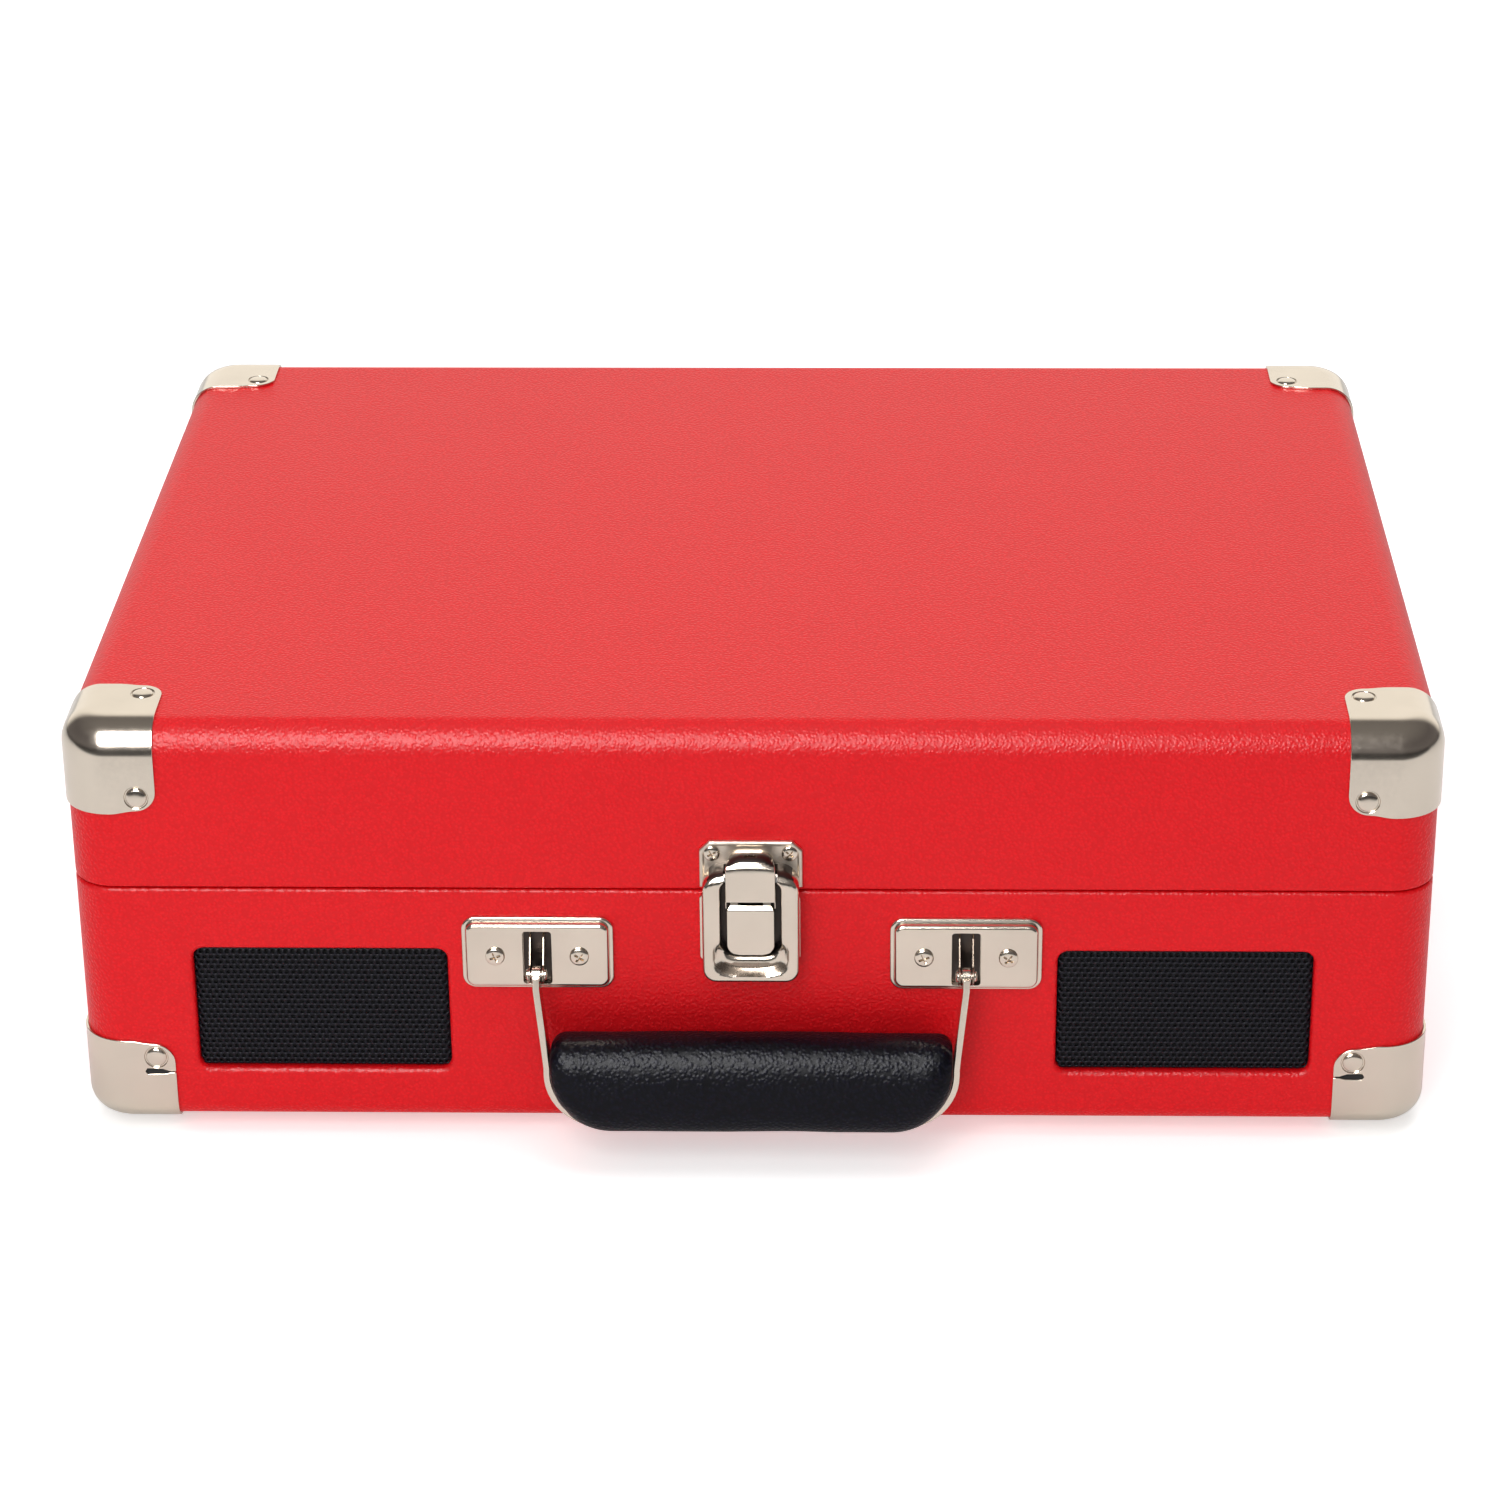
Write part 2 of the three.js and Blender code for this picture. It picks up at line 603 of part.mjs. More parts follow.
// The claw: a strip in front of the lever's pin, with a hook over the keeper's ledge and two ears
// that reach down beside the flap to the claw's pin.
function latchClaw() {
  const half = 6.4;
  const face = FRONT - LATCH.proud;
  const clawY = FRONT - CLAW_PIN.proud;
  const hookBottom = FOOT.height + 80.9;
  const hook = new THREE.Shape();
  hook.moveTo(face, CLAW_PIN.z + 2.8);
  hook.lineTo(face + 1.3, CLAW_PIN.z + 2.8);
  hook.lineTo(face + 1.3, hookBottom - 1.2);
  hook.lineTo(face + 2.5, hookBottom);
  hook.lineTo(FRONT - 2, hookBottom);
  hook.lineTo(FRONT - 2, hookBottom + 1.4);
  hook.lineTo(face + 3.4, hookBottom + 1.4);
  hook.absarc(face + 3.4, hookBottom - 2, 3.4, Math.PI / 2, Math.PI);
  const ear = new THREE.Shape();
  ear.moveTo(face, CLAW_PIN.z + 3.4);
  ear.lineTo(face, CLAW_PIN.z + 1);
  ear.lineTo(clawY - 1.7, CLAW_PIN.z);
  ear.absarc(clawY, CLAW_PIN.z, 1.7, Math.PI, 2 * Math.PI);
  ear.lineTo(face + 2.6, CLAW_PIN.z + 3.4);
  const ears = [-1, 1].map((side) => {
    return prism("x", ear, ...between(side * 5.7, side * half), 5);
  });
  const bore = rod("x", clawY, CLAW_PIN.z, CLAW_PIN.radius + CLEARANCE, -FAR, FAR, 12);
  return cut(join(prism("x", hook, -half, half, 5), ...ears), bore);
}

function keeper() {
  const half = KEEPER.width / 2;
  const back = FRONT - CLEARANCE;
  const outline = polygon([
    [-half, KEEPER.bottom],
    [half, KEEPER.bottom],
    [half, KEEPER.top - 2.4],
    [half - 2.4, KEEPER.top],
    [2.4 - half, KEEPER.top],
    [-half, KEEPER.top - 2.4],
  ]);
  const plate = prism("y", outline, back - 1, back);
  const ledge = block(-5, 5, FRONT - 4.6, back - 0.5, FOOT.height + 78.2, FOOT.height + 80.5);
  return plate.add(ledge);
}

function addLatch() {
  const leverY = FRONT - LEVER_PIN.proud;
  const reach = LATCH.width / 2 - LATCH_SHEET - CLEARANCE;
  add("latch_body", latchBody(), NICKEL);
  add("latch_lever", latchLever(), NICKEL);
  add("latch_claw", latchClaw(), NICKEL);
  add("latch_keeper", keeper(), NICKEL);
  add("latch_lever_pin", rod("x", leverY, LEVER_PIN.z, LEVER_PIN.radius, -reach, reach, 12), STEEL);
}

// ---- the rear hinges ---------------------------------------------------------------------

function hingeTube(x0, x1) {
  const y = HALF_Y + HINGE.proud;
  const tube = rod("x", y, SEAM_HEIGHT, HINGE.knuckle, x0, x1, 16);
  return tube.subtract(rod("x", y, SEAM_HEIGHT, HINGE.pin + CLEARANCE, x0 - 1, x1 + 1, 12));
}

function hingeWeb(x0, x1, up) {
  const y = HALF_Y + CLEARANCE;
  const heights = between(SEAM_HEIGHT + up * 1.6, SEAM_HEIGHT + up * 3.2);
  return block(x0, x1, y, y + HINGE_SHEET, ...heights);
}

function hingePlate(up) {
  const { centreX, halfWidth, leafHeight } = HINGE;
  const heights = between(SEAM_HEIGHT + up * 3, SEAM_HEIGHT + up * leafHeight);
  const outline = roundedRect(centreX - halfWidth, centreX + halfWidth, ...heights, 2);
  const y = HALF_Y + CLEARANCE;
  return prism("y", outline, y, y + HINGE_SHEET, 3);
}

function hingeBaseLeaf() {
  const { centreX, halfWidth } = HINGE;
  const parts = [-1, 1].flatMap((side) => {
    const edges = between(centreX + side * 5.5, centreX + side * halfWidth);
    return [hingeTube(...edges), hingeWeb(...edges, -1)];
  });
  return join(hingePlate(-1), ...parts);
}

function hingeLidLeaf() {
  const x0 = HINGE.centreX - 5.2;
  const x1 = HINGE.centreX + 5.2;
  return join(hingePlate(1), hingeTube(x0, x1), hingeWeb(x0, x1, 1));
}

function addHinges() {
  const y = HALF_Y + HINGE.proud;
  const x0 = HINGE.centreX - HINGE.halfWidth;
  const x1 = HINGE.centreX + HINGE.halfWidth;
  for (const [hand, side] of [["left", -1], ["right", 1]]) {
    addMirrored(`hinge_base_leaf_${hand}`, hingeBaseLeaf(), NICKEL, side);
    addMirrored(`hinge_lid_leaf_${hand}`, hingeLidLeaf(), NICKEL, side);
    const pin = rod("x", y, SEAM_HEIGHT, HINGE.pin, x0, x1, 12);
    addMirrored(`hinge_pin_${hand}`, pin, STEEL, side);
  }
}

// ---- the deck and the drive --------------------------------------------------------------

const ADAPTER = { x: -141, y: -97, radius: 19, height: 6, bore: 3.8 };
const SERVICE_HOLE = { x: 32, y: -2, length: 44, width: 16 }; // under the platter, for the belt and wiring
const CONTROLS = { volume: -98, lamp: -76, headphones: -58, line: -40, speed: -12, stop: 22 };

function deckPlate() {
  const plate = prism("z", innerOutline(0.5), DECK_BOTTOM, DECK_TOP, 3);
  const through = (x, y, radius) => rod("z", x, y, radius, DECK_BOTTOM - 1, DECK_TOP + 9, 12);
  const ring = rod("z", ADAPTER.x, ADAPTER.y, ADAPTER.radius + 3, DECK_TOP - 1, DECK_TOP + 2, 24);
  const well = rod("z", ADAPTER.x, ADAPTER.y, ADAPTER.radius + 0.6, DECK_TOP, DECK_TOP + 5, 24);
  const stopSlot = block(
    CONTROL_X - 4.6,
    CONTROL_X + 4.6,
    CONTROLS.stop - 8.4,
    CONTROLS.stop + 8.4,
    DECK_BOTTOM - 1,
    DECK_TOP + 1,
  );
  const { x, y, length, width } = SERVICE_HOLE;
  const halfLength = length / 2;
  const halfWidth = width / 2;
  const service = roundedRect(x - halfWidth, x + halfWidth, y - halfLength, y + halfLength, 4);
  return cut(
    plate.add(ring),
    well,
    prism("z", service, DECK_BOTTOM - 1, DECK_TOP + 1, 3),
    through(SPINDLE.x, SPINDLE.y, 5.4),
    through(MOTOR_X, MOTOR_Y, 4),
    through(ARM.x, ARM.y, 7.4),
    through(LIFT_X, LIFT_Y, 3),
    through(CONTROL_X, CONTROLS.volume, 3.4),
    through(CONTROL_X, CONTROLS.lamp, 1.9),
    through(CONTROL_X, CONTROLS.headphones, 4),
    through(CONTROL_X, CONTROLS.line, 4),
    through(CONTROL_X, CONTROLS.speed, 2.4),
    stopSlot,
  );
}

function spindle() {
  const r = SPINDLE.radius;
  const profile = [
    [0, SPINDLE.bottom],
    [5, SPINDLE.bottom],
    [5, DECK_BOTTOM - 3],
    [9, DECK_BOTTOM - 3],
    [9, DECK_BOTTOM - CLEARANCE],
    [5, DECK_BOTTOM - CLEARANCE],
    [5, ON_DECK],
    [7.5, ON_DECK],
    [7.5, PLATTER.bottom - 0.4],
    [r, PLATTER.bottom - 0.4],
    [r, SPINDLE.top - 1.3],
    [r - 1, SPINDLE.top],
    [0, SPINDLE.top],
  ];
  return turned(profile, SPINDLE.x, SPINDLE.y, 16);
}

function platter() {
  const { radius, bottom, web, top, beltRing } = PLATTER;
  const bore = SPINDLE.radius + CLEARANCE;
  const profile = [
    [bore, bottom],
    [8, bottom],
    [8, web],
    [beltRing - 3, web],
    [beltRing - 3, bottom],
    [beltRing, bottom],
    [beltRing, web],
    [radius - 3, web],
    [radius - 3, web - 2.5],
    [radius, web - 2.5],
    [radius, top],
    [bore, top],
  ];
  return turned(profile, SPINDLE.x, SPINDLE.y, 36);
}

function slipMat() {
  const bore = SPINDLE.radius + CLEARANCE;
  const { radius, bottom, top } = MAT;
  const profile = [[bore, bottom], [radius, bottom], [radius, top], [bore, top]];
  return turned(profile, SPINDLE.x, SPINDLE.y, 36);
}

function motor() {
  const r = MOTOR.radius;
  const top = DECK_BOTTOM - CLEARANCE;
  const shaftTop = PLATTER.web - 1.1;
  const profile = [
    [0, MOTOR.bottom],
    [r - 1, MOTOR.bottom],
    [r, MOTOR.bottom + 1],
    [r, top],
    [1, top],
    [1, shaftTop],
    [0, shaftTop],
  ];
  return turned(profile, MOTOR_X, MOTOR_Y, 18);
}

function motorPulley() {
  const flange = PULLEY_RADIUS + 0.6;
  const bore = 1 + CLEARANCE;
  const from = PLATTER.bottom;
  const to = PLATTER.web - 0.8;
  const profile = [
    [bore, from],
    [flange, from],
    [flange, from + 0.6],
    [PULLEY_RADIUS, from + 0.8],
    [PULLEY_RADIUS, to - 0.8],
    [flange, to - 0.6],
    [flange, to],
    [bore, to],
  ];
  return turned(profile, MOTOR_X, MOTOR_Y, 16);
}

// A flat belt round the platter's inner ring and the pulley, tangent to both.
function beltOutline(grow) {
  const big = PLATTER.beltRing + CLEARANCE + grow;
  const small = PULLEY_RADIUS + CLEARANCE + grow;
  const half = Math.acos((big - small) / MOTOR.distance);
  const along = MOTOR.direction;
  const shape = new THREE.Shape();
  shape.absarc(SPINDLE.x, SPINDLE.y, big, along + half, along - half + 2 * Math.PI);
  shape.absarc(MOTOR_X, MOTOR_Y, small, along - half, along + half);
  return shape;
}

function driveBelt() {
  const outer = prism("z", beltOutline(BELT.thickness), BELT.bottom, BELT.top, 12);
  return outer.subtract(prism("z", beltOutline(0), BELT.bottom - 1, BELT.top + 1, 12));
}

function circuitBoard() {
  const { x0, x1, y0, y1, z } = BOARD;
  return join(
    block(x0, x1, y0, y1, z, z + 1.6),
    rod("z", x0 + 20, y1 - 15, 6, z + 1, z + 16, 12),
    rod("z", x0 + 38, y1 - 15, 6, z + 1, z + 16, 12),
    block(x1 - 34, x1 - 12, y0 + 10, y0 + 22, z + 1, z + 20),
    block(x0 + 14, x0 + 44, y0 + 12, y0 + 24, z + 1, z + 5),
  );
}

// A panel let into the back wall: two line-output sockets and the power inlet.
function socketPanel() {
  const { x0, x1, z0, z1 } = SOCKET_PANEL;
  const gap = CLEARANCE;
  const y0 = INNER_Y + 0.5;
  const y1 = INNER_Y + 3;
  const z = (z0 + z1) / 2;
  const plate = block(x0 + gap, x1 - gap, y0, y1, z0 + gap, z1 - gap);
  const sockets = [x0 + 12, x0 + 28].map((x) => {
    const barrel = rod("y", x, z, 4.1, y1 - 1, HALF_Y + 4.5, 16);
    return barrel.subtract(rod("y", x, z, 1.7, y1 + 1, HALF_Y + 9, 10));
  });
  const inletX = x1 - 13;
  const inlet = rod("y", inletX, z, 5.6, y1 - 1, HALF_Y + 1, 18);
  const socket = rod("y", inletX, z, 2.9, y1, HALF_Y + 9, 14);
  const pin = rod("y", inletX, z, 1, y1 - 1, HALF_Y, 10);
  return join(plate, ...sockets, inlet.subtract(socket), pin);
}

function addDrive() {
  add("deck_plate", deckPlate(), BLACK_VINYL);
  add("spindle", spindle(), STEEL);
  add("platter", platter(), BLACK_PLASTIC);
  add("slip_mat", slipMat(), RUBBER);
  add("motor", motor(), STEEL);
  add("motor_pulley", motorPulley(), BLACK_PLASTIC);
  add("drive_belt", driveBelt(), RUBBER);
  add("circuit_board", circuitBoard(), CIRCUIT_GREEN);
  add("socket_panel", socketPanel(), BLACK_PLASTIC);
}

// ---- the tonearm -------------------------------------------------------------------------

function armBase() {
  const profile = [
    [0, ARM.stemBottom],
    [7, ARM.stemBottom],
    [7, ON_DECK],
    [20, ON_DECK],
    [20, ON_DECK + 2],
    [12, ON_DECK + 4],
    [11, ARM.turntable],
    [0, ARM.turntable],
  ];
  return turned(profile, ARM.x, ARM.y, 20);
}

// A turntable on the base with two uprights that hold the arm's trunnion.
function armYoke() {
  const discTop = ARM.turntable + 2.4;
  const disc = rod("z", ARM.x, ARM.y, 11, ARM.turntable + CLEARANCE, discTop, 18);
  const uprights = [-1, 1].map((side) => {
    const edges = between(ARM.x + side * 7, ARM.x + side * 9);
    return block(...edges, ARM.y - 4, ARM.y + 4, discTop - 0.4, ARM.axisZ + 3);
  });
  const bore = rod("x", ARM.y, ARM.axisZ, 1.5, ARM.x - 12, ARM.x + 12, 12);
  return join(disc, ...uprights).subtract(bore);
}

function tonearm() {
  const { x, y, axisZ, radius, reach } = ARM;
  const tip = y - reach - 8;
  const headBack = tip + 34;
  const head = polygon([
    [x - 5, headBack],
    [x + 5, headBack],
    [x + 8, headBack - 8],
    [x + 8, tip + 3],
    [x + 5, tip],
    [x - 5, tip],
    [x - 8, tip + 3],
    [x - 8, headBack - 8],
  ]);
  return join(
    rod("y", x, axisZ, radius, headBack - 1, y + 20, 16),
    rod("x", y, axisZ, 1.2, x - 8.6, x + 8.6, 12),
    block(x - 6, x + 6, y - 8, y + 8, axisZ - 4.6, axisZ + 4.6),
    rod("y", x, axisZ, 8, y + 16, y + 30, 20),
    prism("z", head, axisZ - 3, axisZ + 3),
    block(x + 7, x + 15, tip + 12, tip + 18, axisZ - 1, axisZ + 0.6),
  );
}

function cartridge() {
  const { x, y, axisZ, reach } = ARM;
  const stylusY = y - reach;
  const top = axisZ - 3 - CLEARANCE;
  const side = polygon([
    [stylusY - 6, top],
    [stylusY - 6, top - 2.4],
    [stylusY + 4, top - 4],
    [stylusY + 14, top - 4],
    [stylusY + 14, top],
  ]);
  const body = prism("x", side, x - 5.5, x + 5.5);
  return body.add(rod("z", x, stylusY, 0.6, top - 4.6, top - 2, 8));
}

// A post whose shelf carries the arm; only its outer side has a wall, so the arm swings off it.
function armRest() {
  const y = ARM.y - ARM_REST_DISTANCE;
  const x = ARM.x;
  const shelf = ARM_BOTTOM - CLEARANCE;
  const outline = polygon([
    [x - 7, ON_DECK],
    [x + 9, ON_DECK],
    [x + 9, ON_DECK + 2],
    [x + 7.2, ON_DECK + 3],
    [x + 7.2, ARM.axisZ + 2.5],
    [x + 4.9, ARM.axisZ + 2.5],
    [x + 4.9, shelf],
    [x - 4, shelf],
    [x - 4, ON_DECK + 3],
    [x - 7, ON_DECK + 2],
  ]);
  const lugs = [-1, 1].map((side) => {
    const edges = between(y + side * 3.2, y + side * 5);
    return block(x + 6, x + 12, ...edges, ARM.axisZ - 3, ARM.axisZ + 2.5);
  });
  const bore = rod("y", x + 9.8, ARM.axisZ, 1.3, y - 8, y + 8, 10);
  const knuckleRoom = block(x + 7.2, x + 14, y - 3.2, y + 3.2, ARM.axisZ - 4, ARM.axisZ + 4);
  const room = rod("y", x + 9.8, ARM.axisZ, 2.9, y - 3.2, y + 3.2, 16);
  return cut(join(prism("y", outline, y - 5, y + 5), ...lugs), knuckleRoom, room, bore);
}

// The clip that locks the arm, drawn closed about its own pin and stored swung open.
function addArmClip() {
  const outline = new THREE.Shape();
  outline.absarc(0, 0, 2.4, 1.5 * Math.PI, 0.75 * Math.PI, true);
  outline.lineTo(-1.2, 5.8);
  outline.lineTo(-13.8, 5.8);
  outline.lineTo(-14.6, 2.6);
  outline.lineTo(-16.2, 2.6);
  outline.lineTo(-15.6, 7.4);
  outline.lineTo(0.8, 7.4);
  outline.lineTo(2.4, 0);
  outline.absarc(0, 0, 2.4, 0, -Math.PI / 2, true);
  const made = prism("y", outline, -2.9, 2.9, 5).add(rod("y", 0, 0, 1, -4.8, 4.8, 10));
  const clip = new THREE.Group();
  clip.position.set(ARM.x + 9.8, ARM.y - ARM_REST_DISTANCE, ARM.axisZ);
  clip.rotation.y = CLIP_OPEN;
  player.add(clip);
  add("arm_clip", made, BLACK_PLASTIC, clip);
}

// The cue lift: a guide on the deck, a bar curved about the tonearm's pivot, and a lever.
const CUE = { y: LIFT_Y, z: 71, leverX: 139.5 };

function cueGuide() {
  const body = block(LIFT_X - 5, CUE.leverX - 3, LIFT_Y - 5, LIFT_Y + 5, ON_DECK, CUE.z + 3);
  return cut(
    body,
    rod("z", LIFT_X, LIFT_Y, 2.2 + CLEARANCE, DECK_TOP, CUE.z + 9, 16),
    rod("x", CUE.y, CUE.z, 1.5 + CLEARANCE, CUE.leverX - 9, CUE.leverX, 12),
  );
}

function liftBar() {
  const top = ARM_BOTTOM - CLEARANCE;
  const [from, to] = LIFT_SPAN;
  const shape = new THREE.Shape();
  shape.absarc(ARM.x, ARM.y, LIFT.radius + LIFT.width / 2, from, to);
  shape.absarc(ARM.x, ARM.y, LIFT.radius - LIFT.width / 2, to, from, true);
  const bar = prism("z", shape, top - LIFT.height, top, 8);
  return bar.add(rod("z", LIFT_X, LIFT_Y, 2.2, SHAFT_BOTTOM, top - LIFT.height + 0.5, 16));
}

function cueLever() {
  const shape = new THREE.Shape();
  shape.absarc(CUE.y, CUE.z, 3.4, -0.5 * Math.PI, 0.5 * Math.PI);
  shape.lineTo(CUE.y - 20, CUE.z + 2.6);
  shape.lineTo(CUE.y - 24, CUE.z + 4.4);
  shape.lineTo(CUE.y - 25, CUE.z + 3);
  shape.lineTo(CUE.y - 20, CUE.z - 0.4);
  const x = CUE.leverX;
  const pin = rod("x", CUE.y, CUE.z, 1.5, x - 8.5, x - 2, 12);
  return prism("x", shape, x - 2.6, x + 3.4, 6).add(pin);
}

function addTonearm() {
  add("arm_base", armBase(), BLACK_PLASTIC);
  add("arm_yoke", armYoke(), BLACK_PLASTIC);
  add("tonearm", tonearm(), BLACK_PLASTIC);
  add("cartridge", cartridge(), RED_LAMP);
  add("arm_rest", armRest(), BLACK_PLASTIC);
  addArmClip();
  add("cue_guide", cueGuide(), BLACK_PLASTIC);
  add("lift_bar", liftBar(), BLACK_PLASTIC);
  add("cue_lever", cueLever(), BLACK_PLASTIC);
}

// ---- the controls ------------------------------------------------------------------------

function volumeKnob() {
  const base = ON_DECK;
  const profile = [
    [0, SHAFT_BOTTOM],
    [3, SHAFT_BOTTOM],
    [3, base],
    [9.5, base],
    [9, base + 11],
    [8, base + 12],
    [0, base + 12],
  ];
  const knob = turned(profile, CONTROL_X, CONTROLS.volume, 20);
  const mark = block(
    CONTROL_X - 0.5,
    CONTROL_X + 0.5,
    CONTROLS.volume - 8,
    CONTROLS.volume - 3,
    base + 11.4,
    base + 13,
  );
  return knob.subtract(mark);
}

function speedSelector() {
  const base = ON_DECK;
  const x = CONTROL_X;
  const y = CONTROLS.speed;
  const profile = [
    [0, SHAFT_BOTTOM],
    [2, SHAFT_BOTTOM],
    [2, base],
    [7, base],
    [6.6, base + 3],
    [0, base + 3],
  ];
  const bar = block(x - 1.6, x + 1.6, y - 9, y + 6, base + 1, base + 8);
  return turned(profile, x, y, 20).add(bar);
}

const ROCKER = { z: DECK_TOP - 1, tilt: THREE.MathUtils.degToRad(7) };

// A rocker switch, drawn level about its pivot and stored with its back end pressed.
function addStopSwitch() {
  const outline = polygon([
    [-7, -1.6],
    [7, -1.6],
    [7, 4.4],
    [0, 3.2],
    [-7, 4.4],
  ]);
  const rocker = new THREE.Group();
  rocker.position.set(CONTROL_X, CONTROLS.stop, ROCKER.z);
  rocker.rotation.x = -ROCKER.tilt;
  player.add(rocker);
  add("auto_stop_switch", prism("x", outline, -4, 4), BLACK_PLASTIC, rocker);
}

function deckSocket(y) {
  const profile = [
    [0, SOCKET_BOTTOM],
    [3.7, SOCKET_BOTTOM],
    [3.7, ON_DECK],
    [5, ON_DECK],
    [5, ON_DECK + 1.6],
    [1.8, ON_DECK + 1.6],
    [1.8, SOCKET_BOTTOM + 4],
    [0, SOCKET_BOTTOM + 4],
  ];
  return turned(profile, CONTROL_X, y, 16);
}

function powerLamp() {
  const profile = [
    [0, SHAFT_BOTTOM],
    [1.5, SHAFT_BOTTOM],
    [1.5, ON_DECK],
    [2.4, ON_DECK],
    [1.6, ON_DECK + 1.3],
    [0, ON_DECK + 1.7],
  ];
  return turned(profile, CONTROL_X, CONTROLS.lamp, 14);
}

function adapter() {
  const { x, y, radius, height, bore } = ADAPTER;
  const from = ON_DECK;
  const profile = [
    [bore, from],
    [radius - 2, from],
    [radius, from + 1.5],
    [radius, from + height - 1.5],
    [radius - 2, from + height],
    [bore, from + height],
  ];
  return turned(profile, x, y, 24);
}

function addControls() {
  add("volume_knob", volumeKnob(), BLACK_PLASTIC);
  add("speed_selector", speedSelector(), BLACK_PLASTIC);
  addStopSwitch();
  add("headphone_socket", deckSocket(CONTROLS.headphones), BLACK_PLASTIC);
  add("line_in_socket", deckSocket(CONTROLS.line), BLACK_PLASTIC);
  add("power_lamp", powerLamp(), RED_LAMP);
  add("single_adapter", adapter(), BLACK_PLASTIC);
}

// ---- assembly ----------------------------------------------------------------------------

add("base_shell", baseShell(), LEATHERETTE);
add("lid_shell", lidShell(), LEATHERETTE);
addCornerGuards();
addFeet();
addSpeakers();
addHandle();
addLatch();
addHinges();
addDrive();
addTonearm();
addControls();

// The origin lies on the ground under the middle of the player's whole footprint.
player.updateMatrixWorld(true);
const middle = new THREE.Box3().setFromObject(player, true).getCenter(new THREE.Vector3());
player.position.set(0, -middle.y, 0);

export default player;
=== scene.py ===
# A suitcase record player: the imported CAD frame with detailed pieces, materials, lights and a camera.
# Lengths are millimetres in the CAD frame, and meshes are scaled to metres as they are made. Only the
# places and sizes of the lights are metres.
import math

import bmesh
import bpy
from mathutils import Matrix, Vector
from mathutils.noise import noise as noise_at


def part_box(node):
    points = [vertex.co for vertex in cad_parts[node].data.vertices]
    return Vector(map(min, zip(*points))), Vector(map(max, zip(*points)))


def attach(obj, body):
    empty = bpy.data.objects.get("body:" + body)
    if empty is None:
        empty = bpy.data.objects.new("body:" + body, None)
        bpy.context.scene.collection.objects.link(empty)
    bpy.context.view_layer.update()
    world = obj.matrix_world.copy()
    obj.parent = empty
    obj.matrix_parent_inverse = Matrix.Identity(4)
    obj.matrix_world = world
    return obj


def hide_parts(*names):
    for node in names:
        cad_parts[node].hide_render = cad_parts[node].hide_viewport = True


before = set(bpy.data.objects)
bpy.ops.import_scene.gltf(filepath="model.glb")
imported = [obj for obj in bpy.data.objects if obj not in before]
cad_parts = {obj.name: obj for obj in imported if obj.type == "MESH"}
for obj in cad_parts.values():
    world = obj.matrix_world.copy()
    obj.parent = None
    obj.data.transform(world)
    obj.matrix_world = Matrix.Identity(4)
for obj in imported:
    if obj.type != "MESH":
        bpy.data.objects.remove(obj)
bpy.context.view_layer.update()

MM = 0.001
QUARTER = math.pi / 2
RIGHTWARDS = Vector((1, 0, 0))
FORWARDS = Vector((0, -1, 0))  # out of the front of the case
BACKWARDS = Vector((0, 1, 0))
UPWARDS = Vector((0, 0, 1))
HANDS = (("left", -1), ("right", 1))


# ---- where things are, from the CAD frame --------------------------------------------------

def corners(node):
    low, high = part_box(node)
    return low / MM, high / MM


def middle(node):
    low, high = corners(node)
    return (low + high) / 2


BASE_LOW, BASE_HIGH = corners("base_shell")
LID_LOW, LID_HIGH = corners("lid_shell")
FRONT = BASE_LOW.y
BACK = BASE_HIGH.y
HALF_X = BASE_HIGH.x
CASE_BOTTOM = BASE_LOW.z
CASE_TOP = LID_HIGH.z
CASE_WALL = 6
CASE_FLOOR = 5
CASE_CORNER = 12  # radius of the upright corners
LID_EDGE = 8  # radius of the lid's upper edges
BASE_EDGE = 6  # radius of the base's lower edges
RIM_ROLL = 0.9  # radius of the covering's roll over the rims
DECK_TOP = 66


# ---- mesh building -------------------------------------------------------------------------

def smooth(value, low, high):
    """0 below low, 1 above high, and a soft step between them."""
    t = min(max((value - low) / (high - low), 0), 1)
    return t * t * (3 - 2 * t)


def quarter_turn(steps):
    """Angles from none to a quarter turn."""
    return [QUARTER * i / steps for i in range(steps + 1)]


def rounded(u0, u1, v0, v1, radius, steps=8, between=1):
    """An outline function: a rounded rectangle, drawn further in by an inset.
    radius is one number, or four from the upper right anticlockwise. between splits the straights."""
    radii = radius if isinstance(radius, tuple) else (radius,) * 4
    signs = ((1, 1), (-1, 1), (-1, -1), (1, -1))

    def outline(inset=0):
        arcs = []
        for quarter, ((su, sv), whole) in enumerate(zip(signs, radii)):
            r = max(whole - inset, 0.02)
            cu = (u1 if su > 0 else u0) - su * (inset + r)
            cv = (v1 if sv > 0 else v0) - sv * (inset + r)
            turn = [(quarter + i / steps) * QUARTER for i in range(steps + 1)]
            arcs.append([(cu + r * math.cos(a), cv + r * math.sin(a)) for a in turn])
        points = []
        for arc, following in zip(arcs, arcs[1:] + arcs[:1]):
            points += arc
            (ua, va), (ub, vb) = arc[-1], following[0]
            for i in range(1, between):
                points.append((ua + (ub - ua) * i / between, va + (vb - va) * i / between))
        return points

    return outline


def circle(u, v, radius, steps):
    def outline(inset=0):
        r = max(radius - inset, 0.001)
        turn = [2 * math.pi * i / steps for i in range(steps)]
        return [(u + r * math.cos(a), v + r * math.sin(a)) for a in turn]

    return outline


def polygon(points):
    return lambda inset=0: points


def upright(u, v, height):
    return Vector((u, v, height))


def at_depth(u, v, y):
    return Vector((u, y, v))


def from_side(u, v, x):
    return Vector((x, u, v))


def on_front(u, v, proud):
    return Vector((u, FRONT - proud, v))


